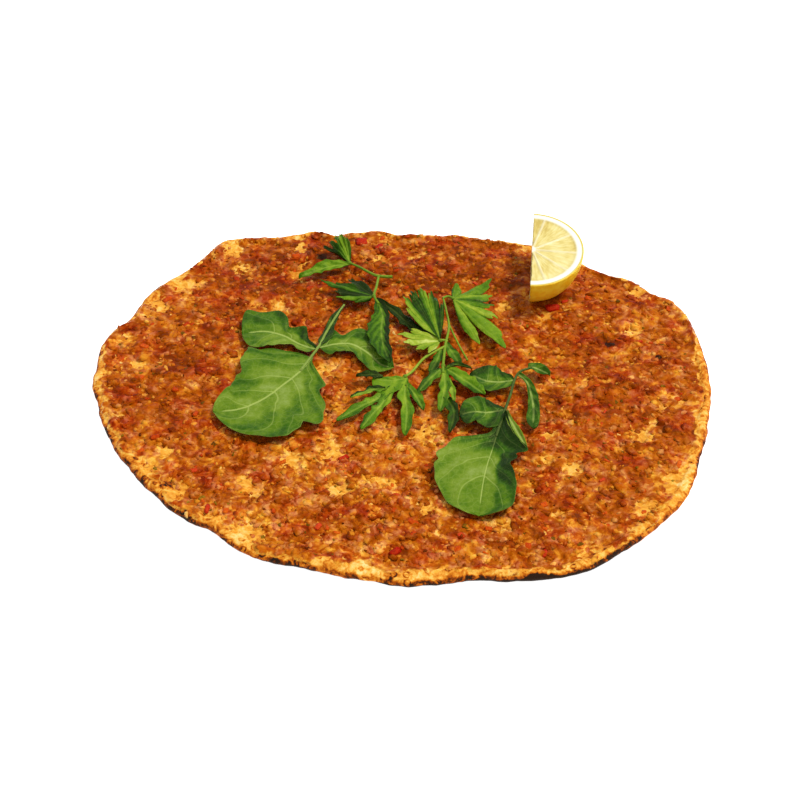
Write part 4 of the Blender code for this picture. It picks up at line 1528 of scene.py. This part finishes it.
# Fingers of the middle sprig: spine, half-widths left and right, tints of rib and sides (colour with
# painted light and shade), teeth
PARSLEY_FINGERS = (
    (
        [(23.3, 30.5, 3.4), (26.5, 23, 3.2), (30, 15, 2.4)],
        (1.4, 2.2, 3, 3, 1.2), (1.4, 2.2, 3, 2.6, 1),
        ((0.6, 0.5), (0.45, 0.4), (0.65, 0.6)), (2, 0.2),
    ),
    (
        [(20.8, 26, 3.5), (18.5, 17, 3), (15, 9, 2.4)],
        (1.4, 2, 3, 2.4, 3, 1), (1.4, 2, 3, 2.4, 2.6, 1),
        ((0.5, 0.4), (0.25, 0.3), (0.5, 0.5)), (3, 0.25),
    ),
    (
        [(22, 12, 3.3), (22.3, -1, 3.3), (21.2, -10, 3), (19.6, -19, 2.4)],
        (1.8, 2.6, 3.4, 3, 3.2, 2.8, 1.2), (1.8, 2.4, 3.2, 3, 2.8, 2.8, 1.2),
        ((0.9, 0.7), (0.6, 0.6), (0.9, 0.75)), (3, 0.3),
    ),
    (
        [(21, 11, 3.2), (15.5, 4.5, 3), (9, -5, 2.2)],
        (1.6, 2.6, 3.2, 2.6, 3, 1), (1.6, 2.8, 3.4, 2.6, 2.4, 1),
        ((0.55, 0.6), (0.6, 0.65), (0.35, 0.45)), (3, 0.3),
    ),
    (
        [(24, 4.5, 3), (25.7, -4.5, 2.8), (26.6, -12, 2.2)],
        (1, 2, 2, 0.8), (1, 1.8, 1.8, 0.8),
        ((1.0, 1.0), (0.9, 0.9), (1.0, 1.0)), (2, 0.3),
    ),
    (
        [(22.5, -8.5, 2.2), (26.5, -19.5, 2), (24, -33, 1.4)],
        (1.4, 3, 3.4, 3, 2.4, 0.8), (1.4, 3, 4, 3.4, 2.4, 0.8),
        ((0.2, 0.3), (-0.1, 0.2), (0.3, 0.4)), (3, 0.3),
    ),
    (
        [(22.5, 12, 3.2), (32, 3, 3), (42, -7, 2.4)],
        (1.6, 3.2, 4.4, 4.6, 4.4, 3.4, 1), (1.6, 2.8, 4, 4.4, 3.8, 3, 1),
        ((0.7, 0.7), (0.75, 0.8), (0.5, 0.6)), (5, 0.25),
    ),
    (
        [(23, 11.5, 3.4), (28.5, 13.5, 3.4), (36, 11.5, 3)],
        (0.8, 1.6, 2, 1.4, 0.6), (0.8, 1.6, 1.4, 1.4, 0.6),
        ((0.3, 0.3), (0.1, 0.2), (0.2, 0.2)), (2, 0.3),
    ),
    (
        [(4, 5, 2.4), (-4, 3.5, 2.4), (-14, 4.5, 2)],
        (1, 4.5, 8, 11, 12, 9, 3), (0.6, 1.2, 2.4, 2.6, 2.6, 3, 1),
        ((0.8, 0.9), (0.9, 0.8), (0.8, 0.8)), (3, 0.12),
    ),
    (
        [(-8.5, 6, 3), (-14.5, 7, 3), (-22, 6.5, 2.2)],
        (1, 2.4, 3, 2.4, 0.8), (1, 1.8, 3, 2, 0.8),
        ((0.1, 0.1), (-0.1, 0.1), (0.1, 0.0)), (3, 0.3),
    ),
    (
        [(-7, -3.5, 3), (-15, -4.5, 3), (-24.5, -9, 2.2)],
        (1.4, 2.8, 1.8, 3, 1.6, 0.6), (1.4, 2, 3.2, 2, 2.4, 0.6),
        ((0.3, 1.0), (0.6, 1.2), (-0.1, 0.2)), (4, 0.4),
    ),
    (
        [(-3, -2, 2.2), (-12, -10.5, 2.2), (-19, -15, 2), (-31, -24.5, 1.4)],
        (2.4, 3.4, 2.6, 3, 3.6, 3.4, 1.2), (2.4, 3, 2.8, 3, 3, 2.8, 1),
        ((0.85, 0.65), (0.5, 0.6), (0.85, 0.65)), (4, 0.3),
    ),
    (
        [(-3.5, -1.5, 2.4), (-9, -14, 2.2), (-13.5, -21, 2), (-19, -30.5, 1.4)],
        (2.4, 3.4, 3, 3, 3.8, 3.4, 1.2), (2.4, 3.4, 2.8, 3.2, 3, 2.8, 1),
        ((0.85, 0.75), (0.85, 0.8), (0.5, 0.55)), (4, 0.3),
    ),
    (
        [(3, 4, 2.4), (2.4, -7, 2.4), (3.4, -19, 2.2), (2.4, -35, 1.4)],
        (1.4, 2.2, 2.8, 2.8, 3.6, 3.8, 3.2, 1), (1.4, 2.2, 3, 4.6, 2.6, 3.4, 3, 1),
        ((0.9, 0.8, 0.7), (0.6, 0.6, 0.55), (0.9, 0.85, 0.7)), (3, 0.25),
    ),
    (
        [(3.4, 1, 2.4), (8, -8, 2), (11.5, -17.5, 1.6)],
        (1, 2.4, 3.2, 3, 0.8), (1, 2.2, 2.6, 2.4, 0.8),
        ((0.65, 0.65), (0.65, 0.65), (0.4, 0.45)), (2, 0.3),
    ),
)


def parsley_middle():
    """The parsley sprig in the middle: an upright part and a side branch to the lower left."""
    bm = bmesh.new()
    crown = (27.4, 64.4, 4.2)
    fork = (20.5, 31.8, 3.6)
    foot = (21.6, 13, 3.3)
    elbow = (2.5, 6.2, 2.2)
    stalk(
        bm,
        [
            (22.5, 64, 4), (24, 53.5, 4), (25, 42, 3.8), (23, 28.5, 3.6), (21.6, 13.5, 3.4),
            (21.6, 8, 3.2),
        ],
        0.55,
        0.8,
        0.8,
    )
    stalk(bm, [(24.8, 45, 3.8), (29.5, 31.5, 2), (34, 19.5, 1.2)], 0.5, 0.5, 0.8)
    stalk(bm, [(23, 27.5, 3.6), (12.5, 19.5, 3), (6, 9.5, 2.4), (1.5, 5.5, 2.2)], 0.7, 0.7, 1.0)
    stalk(bm, [(22, 64.5, 4), (25, 66, 4.2), (28, 64.2, 4.2)], 0.6, 0.6)
    stalk(bm, [(24, 31, 3.6), (22.5, 32, 3.6), (20, 32, 3.6)], 0.7, 0.7, 1.0)
    for joint, radius in ((fork, 1.0), (crown, 1.0), (foot, 1.2), (elbow, 1.2)):
        knuckle(bm, joint, radius)
    # The leaflets' tints paint light and shade as well as their own green
    fan(
        bm,
        fork,
        (
            (80, 3), (86, 26), (90, 24), (97, 35), (100.5, 31.5), (104.5, 38.5), (108.5, 34.5),
            (112.5, 37.5), (116.5, 33), (120.5, 35.5), (124.5, 27), (129, 26), (140, 3),
        ),
        rise=2.5,
        pleat=0.4,
        tints_and_shade=(0.5, 0.3, 0.3, 1.0, 0.6, 0.2, 0.3, 0.9, 1.0, 0.9),
    )
    fan(
        bm,
        crown,
        (
            (100, 3), (81, 12), (44, 5), (38.5, 25), (20, 16), (10.5, 20), (-4, 15.5),
            (-13, 21), (-23, 17), (-33, 26), (-40, 22), (-56, 44), (-61, 17), (-70, 36),
            (-84, 3),
        ),
        rise=-1.0,
        pleat=0.5,
        tints_and_shade=(0.4, 0.8, 0.7, 1.0, 0.5, 0.8, 1.1, 0.7, 1.0, 0.6),
    )
    fan(
        bm,
        fork,
        (
            (140, 4), (152, 16), (161, 15), (170, 21), (178, 14), (189, 18),
            (200, 11), (212, 14), (226, 8), (240, 12), (262, 2),
        ),
        rise=1.2,
        tints_and_shade=(1.2, 1.0, 1.3, 0.9, 1.2),
    )
    for spine, left, right, tints_and_shade, teeth in PARSLEY_FINGERS:
        blade(bm, spine, left, right, (0.4, 0.6), 0.2, veins=3, tints_and_shade=tints_and_shade, teeth=teeth)
    return bm


# Materials

def paint(red, green, blue):
    """The surface's own linear colour that looks like this under the scene's light."""
    linear = []
    for value in (red, green, blue):
        value /= 255
        step = value / 12.92 if value <= 0.04045 else ((value + 0.055) / 1.055) ** 2.4
        linear.append(step / LIGHT_LEVEL)
    return (*linear, 1.0)


def feed(tree, socket, value):
    """Gives an input a value of its own, or another node's output."""
    if isinstance(value, bpy.types.NodeSocket):
        tree.links.new(value, socket)
    else:
        socket.default_value = value


def add(tree, kind, inputs=None, **settings):
    """A shader node with its settings, and its inputs as values or as other nodes' sockets."""
    node = tree.nodes.new("ShaderNode" + kind)
    for name, value in settings.items():
        setattr(node, name, value)
    for name, value in (inputs or {}).items():
        feed(tree, node.inputs[name], value)
    return node


def sums(tree, operation, first, second=0.0, third=0.0, clamp=False):
    """A math node's result."""
    node = add(tree, "Math", {0: first, 1: second, 2: third}, operation=operation, use_clamp=clamp)
    return node.outputs[0]


def scaled(tree, value, factor, start, clamp=False):
    """A value times a factor, on top of a start."""
    return sums(tree, "MULTIPLY_ADD", value, factor, start, clamp)


def between(tree, value, low, high):
    """0 below low, 1 above high, and a smooth step between them."""
    inputs = {"Value": value, "From Min": low, "From Max": high}
    return add(tree, "MapRange", inputs, interpolation_type="SMOOTHSTEP").outputs[0]


def outside(tree, value, low, high):
    """1 below low, 0 above high, and a smooth step between them."""
    return sums(tree, "SUBTRACT", 1.0, between(tree, value, low, high))


def ramp(tree, value, stops):
    """A colour ramp with painted stops."""
    node = add(tree, "ValToRGB", {0: value})
    band = node.color_ramp
    while len(band.elements) < len(stops):
        band.elements.new(0.5)
    for element, (at, colour) in zip(band.elements, stops):
        element.position = at
        element.color = paint(*colour)
    return node.outputs[0]


def mixed(tree, share, first, second, blend="MIX"):
    """Two colours mixed by a share."""
    node = add(tree, "Mix", data_type="RGBA", blend_type=blend)
    for index, value in ((0, share), (6, first), (7, second)):
        feed(tree, node.inputs[index], value)
    return node.outputs[2]


def values(tree, name):
    """A piece's own vertex values."""
    return add(tree, "Attribute", attribute_name=name).outputs["Fac"]


def group(name, sockets_in, sockets_out):
    """A new node group with its named values, and its two end nodes."""
    tree = bpy.data.node_groups.new(name, "ShaderNodeTree")
    for socket, start in sockets_in:
        made = tree.interface.new_socket(socket, in_out="INPUT", socket_type="NodeSocketFloat")
        made.default_value = start
    for socket, kind in sockets_out:
        tree.interface.new_socket(socket, in_out="OUTPUT", socket_type=kind)
    return tree, tree.nodes.new("NodeGroupInput"), tree.nodes.new("NodeGroupOutput")


def scale_of(tree, size):
    """How many of a size in millimetres go into a metre."""
    return sums(tree, "DIVIDE", 1000.0, size)


def mottle_group():
    """Soft blotches of one size, with finer ones in them, from 0 to 1."""
    sockets = (("Size", 10.0), ("Detail", 3.0), ("Shift", 0.0), ("Swirl", 0.0))
    tree, start, end = group("mottle", sockets, (("Mottle", "NodeSocketFloat"),))
    place = add(tree, "TexCoord").outputs["Object"]
    moved = add(tree, "VectorMath", {0: place, 1: start.outputs["Shift"]}, operation="ADD").outputs[0]
    inputs = {
        "Vector": moved,
        "Scale": scale_of(tree, start.outputs["Size"]),
        "Detail": start.outputs["Detail"],
        "Roughness": 0.6,
        "Distortion": start.outputs["Swirl"],
    }
    blotch = add(tree, "TexNoise", inputs).outputs[0]
    tree.links.new(between(tree, blotch, 0.28, 0.72), end.inputs["Mottle"])


def warped_place(tree, scale, amount):
    """Object coordinates pushed about by noise, so that a cell pattern loses its straight walls."""
    place = add(tree, "TexCoord").outputs["Object"]
    push = add(tree, "TexNoise", {"Vector": place, "Scale": scale, "Detail": 2.0}).outputs["Color"]
    push = add(tree, "VectorMath", {0: push, "Scale": amount * MM}, operation="SCALE").outputs[0]
    return add(tree, "VectorMath", {0: place, 1: push}, operation="ADD").outputs[0]


def granule_group():
    """Irregular granules of one size: each one's own tone, and its rounded height."""
    sockets = (("Size", 2.5), ("Shift", 0.0))
    outputs = (("Tone", "NodeSocketFloat"), ("Height", "NodeSocketFloat"))
    tree, start, end = group("granules", sockets, outputs)
    scale = scale_of(tree, start.outputs["Size"])
    place = warped_place(tree, scale, 2.2)
    moved = add(tree, "VectorMath", {0: place, 1: start.outputs["Shift"]}, operation="ADD").outputs[0]
    cells = add(tree, "TexVoronoi", {"Vector": moved, "Scale": scale})
    own = add(tree, "SeparateColor", {0: cells.outputs["Color"]}).outputs[0]
    tree.links.new(own, end.inputs["Tone"])
    height = sums(tree, "SUBTRACT", 1.0, cells.outputs["Distance"], clamp=True)
    tree.links.new(height, end.inputs["Height"])


def blister_group():
    """Brown rings and spots of burst blisters in some cells of a loose pattern."""
    outputs = (("Ring", "NodeSocketFloat"), ("Spot", "NodeSocketFloat"))
    tree, start, end = group("blisters", (("Size", 6.0),), outputs)
    scale = scale_of(tree, start.outputs["Size"])
    cells = add(tree, "TexVoronoi", {"Vector": warped_place(tree, scale, 1.6), "Scale": scale})
    own = add(tree, "SeparateColor", {0: cells.outputs["Color"]})
    off = sums(tree, "ABSOLUTE", sums(tree, "SUBTRACT", cells.outputs["Distance"], 0.3))
    ring = outside(tree, off, 0.03, 0.12)
    chosen = between(tree, own.outputs[0], 0.45, 0.6)
    tree.links.new(sums(tree, "MULTIPLY", ring, chosen), end.inputs["Ring"])
    spot = outside(tree, cells.outputs["Distance"], 0.1, 0.26)
    chosen = between(tree, own.outputs[1], 0.6, 0.75)
    tree.links.new(sums(tree, "MULTIPLY", spot, chosen), end.inputs["Spot"])


def mince_tone_group():
    """The colours of baked mince and its oil, from burnt brown to golden, redder or more olive."""
    outputs = (("Color", "NodeSocketColor"),)
    tree, start, end = group("mince_tones", (("Tone", 0.5),), outputs)
    stops = (
        (0.0, (116, 37, 0)),
        (0.14, (142, 50, 0)),
        (0.32, (163, 65, 0)),
        (0.5, (183, 84, 10)),
        (0.64, (198, 103, 22)),
        (0.78, (216, 127, 32)),
        (0.9, (234, 154, 46)),
        (1.0, (246, 184, 72)),
    )
    warmth = mottle(tree, 12.0, 3.0, 0.8)
    turn = scaled(tree, warmth, 0.027, 0.4895)
    fade = between(tree, mottle(tree, 5.0, 3.0, 1.7), 0.35, 0.95)
    fade = sums(tree, "MULTIPLY", fade, between(tree, start.outputs["Tone"], 0.1, 0.7))
    fade = scaled(tree, fade, -0.075, 1.0)
    colour = ramp(tree, start.outputs["Tone"], stops)
    inputs = {"Hue": turn, "Saturation": fade, "Color": colour}
    colour = add(tree, "HueSaturation", inputs).outputs[0]
    red = sums(tree, "MULTIPLY", between(tree, warmth, 0.66, 1.0), 0.3)
    tree.links.new(mixed(tree, red, colour, paint(206, 62, 8)), end.inputs["Color"])


def dough_tone_group():
    """The colours of baked dough, from burnt to pale."""
    outputs = (("Color", "NodeSocketColor"),)
    tree, start, end = group("dough_tones", (("Tone", 0.5),), outputs)
    stops = (
        (0.0, (38, 24, 22)),
        (0.12, (86, 38, 16)),
        (0.26, (160, 72, 16)),
        (0.4, (206, 114, 24)),
        (0.54, (228, 150, 50)),
        (0.7, (244, 185, 80)),
        (1.0, (254, 220, 144)),
    )
    tree.links.new(ramp(tree, start.outputs["Tone"], stops), end.inputs["Color"])


def use(tree, name, **inputs):
    """A node group placed in a material with its own values."""
    node = tree.nodes.new("ShaderNodeGroup")
    node.node_tree = bpy.data.node_groups[name]
    for key, value in inputs.items():
        feed(tree, node.inputs[key], value)
    return node


def mottle(tree, size, detail=3.0, shift=0.0, swirl=0.0):
    return use(tree, "mottle", Size=size, Detail=detail, Shift=shift, Swirl=swirl).outputs[0]


mottle_group()
granule_group()
blister_group()
mince_tone_group()
dough_tone_group()


def surface(name):
    """A new material's node tree and its Principled shader."""
    material = bpy.data.materials.new(name)
    material.use_nodes = True
    tree = material.node_tree
    return material, tree, tree.nodes["Principled BSDF"]


def finish_of(tree, shader, colour, roughness, height, depth, shine, gloss=(1, 1, 1)):
    """Feeds the shader its colour, roughness and relief, and sets how much it reflects."""
    tree.links.new(colour, shader.inputs["Base Color"])
    tree.links.new(roughness, shader.inputs["Roughness"])
    bump = add(tree, "Bump", {"Height": height, "Strength": 1.0, "Distance": depth * MM})
    tree.links.new(bump.outputs[0], shader.inputs["Normal"])
    shader.inputs["Specular IOR Level"].default_value = shine
    shader.inputs["Specular Tint"].default_value = (*gloss, 1)


def flow(tree):
    """Soft swirls of darker and lighter mince that run through the layer and its crumbs alike."""
    return mottle(tree, 7.0, 2.0, 0.6, 1.4)


def dough_colour(tree, burnt, brown, pale):
    """Baked dough's own colour, with blistered, browned, pale and burnt places."""
    tone = scaled(tree, mottle(tree, 7.0, 3.0, 0.0, 1.6), 0.46, 0.2)
    tone = scaled(tree, mottle(tree, 2.6, 3.0, 0.3, 1.4), 0.26, tone)
    blisters = use(tree, "blisters", Size=5.0)
    tone = scaled(tree, blisters.outputs["Ring"], -0.26, tone)
    tone = scaled(tree, blisters.outputs["Spot"], -0.28, tone)
    tone = scaled(tree, pale, mottle(tree, 5.0, 2.0, 0.7), tone)
    tone = scaled(tree, brown, -0.36, tone)
    tone = scaled(tree, burnt, -0.8, tone, clamp=True)
    return use(tree, "dough_tones", Tone=tone).outputs[0]


def dough_finish():
    """Golden crust with brown blisters, a browned edge and a burnt lower edge."""
    material, tree, shader = surface("baked crust")
    burnt = scaled(tree, mottle(tree, 4.0, 2.0, 0.4), 0.2, values(tree, "burnt"))
    burnt = between(tree, burnt, 0.2, 1.1)
    colour = dough_colour(tree, burnt, values(tree, "brown"), values(tree, "pale"))
    fine = mottle(tree, 2.6, 3.0)
    rough = scaled(tree, fine, 0.25, 0.5)
    height = scaled(tree, mottle(tree, 1.2, 3.0), 0.3, fine)
    finish_of(tree, shader, colour, rough, height, 0.2, 0.12, OIL_GLOSS)
    return material


def mince_finish():
    """Granules of mince in orange oil, with dough showing where the mince is thin."""
    material, tree, shader = surface("baked mince")
    coarse = use(tree, "granules", Size=3.2)
    fine = use(tree, "granules", Size=1.6, Shift=0.3)
    tone = scaled(tree, coarse.outputs["Tone"], 0.2, values(tree, "tone"))
    tone = scaled(tree, fine.outputs["Tone"], 0.1, tone)
    tone = scaled(tree, flow(tree), 0.6, sums(tree, "SUBTRACT", tone, 0.05))
    thin = scaled(tree, mottle(tree, 3.0, 3.0, 0.9, 1.0), 0.5, values(tree, "thin"))
    oily = between(tree, thin, 0.2, 0.8)
    tone = scaled(tree, oily, 0.16, tone, clamp=True)
    meat = use(tree, "mince_tones", Tone=tone).outputs[0]
    bare = between(tree, thin, 0.66, 1.2)
    dough = mixed(tree, 0.4, dough_colour(tree, 0.0, 0.0, 0.1), paint(242, 175, 58))
    colour = mixed(tree, bare, meat, dough)
    burnt = between(tree, values(tree, "burnt"), 0.2, 0.7)
    colour = mixed(tree, burnt, colour, paint(48, 14, 8))
    rough = scaled(tree, mottle(tree, 3.5, 3.0, 0.1), 0.35, 0.22)
    height = scaled(tree, fine.outputs["Height"], 0.2, coarse.outputs["Height"])
    height = scaled(tree, mottle(tree, 1.4, 2.0), 0.2, height)
    finish_of(tree, shader, colour, rough, height, 0.35, 0.12, OIL_GLOSS)
    return material


def crumb_finish(name, least, span):
    """Baked mince, in each crumb's own tone between two limits."""
    material, tree, shader = surface(name)
    tone = scaled(tree, flow(tree), 0.6, values(tree, "tone"))
    tone = scaled(tree, tone, span, least - 0.3 * span, clamp=True)
    colour = use(tree, "mince_tones", Tone=tone).outputs[0]
    rough = scaled(tree, mottle(tree, 1.2), 0.35, 0.2)
    finish_of(tree, shader, colour, rough, mottle(tree, 1.4, 2.0), 0.15, 0.12, OIL_GLOSS)
    return material


def bit_finish(name, stops, roughness):
    """A small bit's colours by its own tone, mottled."""
    material, tree, shader = surface(name)
    tone = scaled(tree, mottle(tree, 1.4, 3.0), 0.4, values(tree, "tone"))
    tone = sums(tree, "SUBTRACT", tone, 0.2, clamp=True)
    rough = scaled(tree, mottle(tree, 1.1), 0.25, roughness)
    grain = mottle(tree, 0.9, 3.0)
    finish_of(tree, shader, ramp(tree, tone, stops), rough, grain, 0.15, 0.2, OIL_GLOSS)
    return material


def leaf_finish(name, stops, vein, net_size, vein_strength):
    """A green leaf with pale ribs, side veins and a fine net between them, with painted light and shade and
    a painted highlight along its margin.
    """
    material, tree, shader = surface(name)
    # The tint brings painted light and shade as well as the leaf's own tone
    shade = scaled(tree, values(tree, "tint_and_shade"), 0.8, -0.2)
    shade = scaled(tree, mottle(tree, 9.0), 0.16, shade)
    shade = scaled(tree, mottle(tree, 2.4, 3.0, 0.2), 0.12, shade)
    # Painted shade: a lit and a shaded side to each side vein, from the sine of the run
    turn = sums(tree, "MULTIPLY", values(tree, "run"), 2 * math.pi)
    shade = scaled(tree, sums(tree, "SINE", turn), 0.09, shade)
    side = values(tree, "side")
    dark_edge = between(tree, side, 0.45, 0.98)
    shade = scaled(tree, dark_edge, -0.06, shade, clamp=True)
    base = ramp(tree, shade, stops)
    place = add(tree, "TexCoord").outputs["Object"]
    net_inputs = {"Vector": place, "Scale": 1000 / net_size}
    net = add(tree, "TexVoronoi", net_inputs, feature="DISTANCE_TO_EDGE").outputs["Distance"]
    net = outside(tree, net, 0.0, 0.12)
    off = sums(tree, "ABSOLUTE", sums(tree, "SUBTRACT", sums(tree, "FRACT", values(tree, "run")), 0.5))
    side_vein = outside(tree, off, 0.008, 0.045)
    side_vein = sums(tree, "MULTIPLY", side_vein, scaled(tree, side, -0.45, 0.7))
    rib = outside(tree, values(tree, "rib"), 0.25, 0.75)
    pale = sums(tree, "MAXIMUM", side_vein, rib)
    pale = sums(tree, "MAXIMUM", pale, sums(tree, "MULTIPLY", net, 0.12))
    # A painted highlight along the very margin, where the edge catches the light
    edge_highlight = between(tree, side, 0.975, 1.0)
    pale = sums(tree, "MAXIMUM", pale, sums(tree, "MULTIPLY", edge_highlight, 0.4))
    # The veins show less where the painted shade is dark
    lit = scaled(tree, between(tree, shade, 0.05, 0.45), 0.7, 0.3)
    pale = sums(tree, "MULTIPLY", pale, sums(tree, "MULTIPLY", lit, vein_strength))
    colour = mixed(tree, pale, base, paint(*vein))
    rough = scaled(tree, mottle(tree, 3.0), 0.2, 0.36)
    sunk_net = sums(tree, "MULTIPLY", net, -0.4)
    height = scaled(tree, mottle(tree, 1.2, 3.0), 0.35, sunk_net)
    finish_of(tree, shader, colour, rough, height, 0.18, 0.2, LEAF_GLOSS)
    return material


def lemon_finish():
    """Waxy peel, white pith and pale flesh in segments, with a line of painted shade at the peel's cut
    edge.
    """
    material, tree, shader = surface("lemon")
    reach, turn, wall = values(tree, "reach"), values(tree, "turn"), values(tree, "membrane")
    across, outward = sums(tree, "MULTIPLY", turn, 15.0), sums(tree, "MULTIPLY", reach, 6.0)
    fibres = add(tree, "CombineXYZ", {0: across, 1: outward}).outputs[0]
    sacs = add(tree, "TexNoise", {"Vector": fibres, "Scale": 1.0, "Detail": 3.0}).outputs[0]
    juice = scaled(tree, mottle(tree, 12.0, 1.0), 0.3, sums(tree, "MULTIPLY", sacs, 0.7))
    stops = ((0.3, (206, 180, 92)), (0.5, (228, 208, 124)), (0.7, (240, 227, 158)))
    flesh = ramp(tree, juice, stops)
    membrane = outside(tree, wall, 0.2, 1.1)
    flesh = mixed(tree, sums(tree, "MULTIPLY", membrane, 0.6), flesh, paint(246, 236, 196))
    pith = between(tree, reach, FLESH_REACH - 0.03, FLESH_REACH + 0.03)
    core = outside(tree, reach, 0.04, 0.1)
    pith = sums(tree, "MAXIMUM", pith, core)
    colour = mixed(tree, pith, flesh, paint(252, 250, 234))
    # Painted shade: a thin olive line where the cut face meets the peel
    colour = mixed(tree, between(tree, reach, 0.95, 0.975), colour, paint(206, 194, 100))
    peel_stops = ((0.2, (246, 190, 20)), (0.8, (252, 214, 52)))
    peel = ramp(tree, mottle(tree, 4.0), peel_stops)
    colour = mixed(tree, between(tree, reach, 0.975, 0.995), colour, peel)
    rough = scaled(tree, mottle(tree, 2.0), 0.2, 0.28)
    finish_of(tree, shader, colour, rough, sacs, 0.12, 0.3)
    return material


def floor_finish():
    """A plain pale floor, a little uneven in tone."""
    material, tree, shader = surface("pale floor")
    tone = ramp(tree, mottle(tree, 400.0), ((0.0, (250, 250, 250)), (1.0, (255, 255, 255))))
    rough = scaled(tree, mottle(tree, 200.0), 0.1, 0.8)
    finish_of(tree, shader, tone, rough, tone, 0.0, 0.1)
    shader.inputs["Emission Color"].default_value = (1, 1, 1, 1)
    shader.inputs["Emission Strength"].default_value = FLOOR_GLOW
    return material


# Assembly

def new_object(name, bm, material):
    """An object of the scene from a shape, which is freed."""
    mesh = bpy.data.meshes.new(name)
    bm.to_mesh(mesh)
    bm.free()
    mesh.materials.append(material)
    made = bpy.data.objects.new(name, mesh)
    bpy.context.scene.collection.objects.link(made)
    return made


def finished(name, bm, material, slot, *nodes):
    """Turns a shape into a piece in metres that rides on the part and takes the nodes' place."""
    bmesh.ops.translate(bm, vec=-CENTRE, verts=bm.verts)
    bmesh.ops.scale(bm, vec=(MM, MM, MM), verts=bm.verts)
    piece = new_object(name, bm, material)
    piece.data.shade_smooth()
    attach(piece, "root")
    if nodes:
        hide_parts(*nodes)


def bread_pieces():
    finished("baked_dough", baked_dough(), dough_finish(), "dough", "flatbread")
    finished("mince_layer", mince_layer(), mince_finish(), "mince_spread", "meat_spread")
    crumbs = crumb_finish("mince crumbs", 0.0, 0.95)
    finished("mince_crumbs", pebbles(11, 1, CRUMBS, CRUMB_SIZE), crumbs, "mince_spread")
    finished("mince_lumps", pebbles(23, 2, LUMPS, LUMP_SIZE), crumbs, "mince_spread")
    golden = pebbles(29, 1, GOLDEN_CRUMBS, GOLDEN_SIZE, 0.3, 0.25)
    finished("golden_crumbs", golden, crumb_finish("golden crumbs", 0.55, 0.45), "mince_spread")


# Bits: piece, material, its colours from dark to pale, its roughness, and how the bits are cut
BITS = (
    (
        "onion_bits", "onion",
        ((0.1, (220, 138, 34)), (0.5, (236, 166, 64)), (0.9, (248, 204, 122))),
        0.3, (31, ONIONS, ONION_SIZE, 0.35, ONION_PIECES, 0.3, 0.6),
    ),
    (
        "pepper_bits", "red pepper",
        ((0.1, (168, 42, 2)), (0.5, (202, 70, 8)), (0.9, (222, 106, 24))),
        0.25, (43, PEPPERS, PEPPER_SIZE, 0.4),
    ),
    (
        "pepper_pieces", "ripe pepper",
        ((0.1, (138, 8, 4)), (0.5, (180, 22, 10)), (0.9, (204, 62, 28))),
        0.3, (44, 0, PEPPER_SIZE, 0.45, PEPPER_PIECES, PEPPER_SINK),
    ),
    (
        "herb_flecks", "baked herb",
        ((0.1, (92, 54, 0)), (0.5, (124, 84, 8)), (0.9, (158, 122, 28))),
        0.45, (57, FLECKS, FLECK_SIZE, 0.25),
    ),
    (
        "burnt_flecks", "burnt crumb",
        ((0.1, (84, 22, 0)), (0.9, (128, 44, 0))),
        0.5, (71, CHARS, CHAR_SIZE, 0.5),
    ),
)


def bit_pieces():
    for name, look, colours, roughness, cut in BITS:
        material = bit_finish(look, colours, roughness)
        finished(name, chips(*cut), material, "mince_spread")


def herb_pieces():
    greens = (
        (0.0, (12, 46, 4)),
        (0.25, (46, 90, 2)),
        (0.45, (84, 117, 12)),
        (0.65, (110, 136, 34)),
        (1.0, (148, 167, 88)),
    )
    rocket = leaf_finish("rocket", greens, (178, 194, 104), 3.2, 0.62)
    finished("rocket_left", rocket_left(), rocket, "rocket_leaf", "rocket_leaf_left")
    finished("rocket_right", rocket_right(), rocket, "rocket_leaf", "rocket_leaf_right")
    greens = (
        (0.0, (8, 36, 2)),
        (0.25, (38, 82, 0)),
        (0.45, (78, 120, 6)),
        (0.65, (114, 146, 22)),
        (0.85, (154, 172, 48)),
        (1.0, (196, 206, 110)),
    )
    parsley = leaf_finish("parsley", greens, (172, 192, 80), 2.4, 0.26)
    finished("parsley_back", parsley_back(), parsley, "parsley_leaf", "parsley_sprig_back")
    finished("parsley_middle", parsley_middle(), parsley, "parsley_leaf", "parsley_sprig_middle")


def studio():
    """A pale floor, soft light from all round, and a high key light from the right."""
    bm = bmesh.new()
    bmesh.ops.create_grid(bm, x_segments=8, y_segments=8, size=FLOOR_SIZE / 2)
    new_object("floor", bm, floor_finish())
    sun = bpy.data.lights.new("key", "SUN")
    sun.energy = SUN_STRENGTH
    sun.angle = math.radians(SUN_ANGLE)
    key = bpy.data.objects.new("key", sun)
    key.rotation_euler = (0, math.radians(90 - SUN_ELEVATION), math.radians(90 - SUN_TURN))
    bpy.context.scene.collection.objects.link(key)
    world = bpy.data.worlds.new("studio")
    world.use_nodes = True
    sky = world.node_tree.nodes["Background"]
    sky.inputs["Color"].default_value = (1, 1, 1, 1)
    sky.inputs["Strength"].default_value = SKY_STRENGTH
    bpy.context.scene.world = world


def photo_camera():
    """The camera at the photograph's height, distance and lens."""
    data = bpy.data.cameras.new("camera")
    data.lens = LENS
    data.sensor_width = SENSOR
    camera = bpy.data.objects.new("camera", data)
    rise = math.radians(EYE_ELEVATION)
    back = Vector((0, -math.cos(rise), math.sin(rise)))
    camera.location = (back * EYE_DISTANCE - CENTRE) * MM
    camera.rotation_euler = (-back).to_track_quat("-Z", "Y").to_euler()
    bpy.context.scene.collection.objects.link(camera)
    bpy.context.scene.camera = camera
    bpy.context.scene.view_settings.view_transform = "Standard"


photo_camera()
studio()
bread_pieces()
bit_pieces()
finished("lemon_quarter", lemon_quarter(), lemon_finish(), "lemon", "lemon_wedge")
herb_pieces()
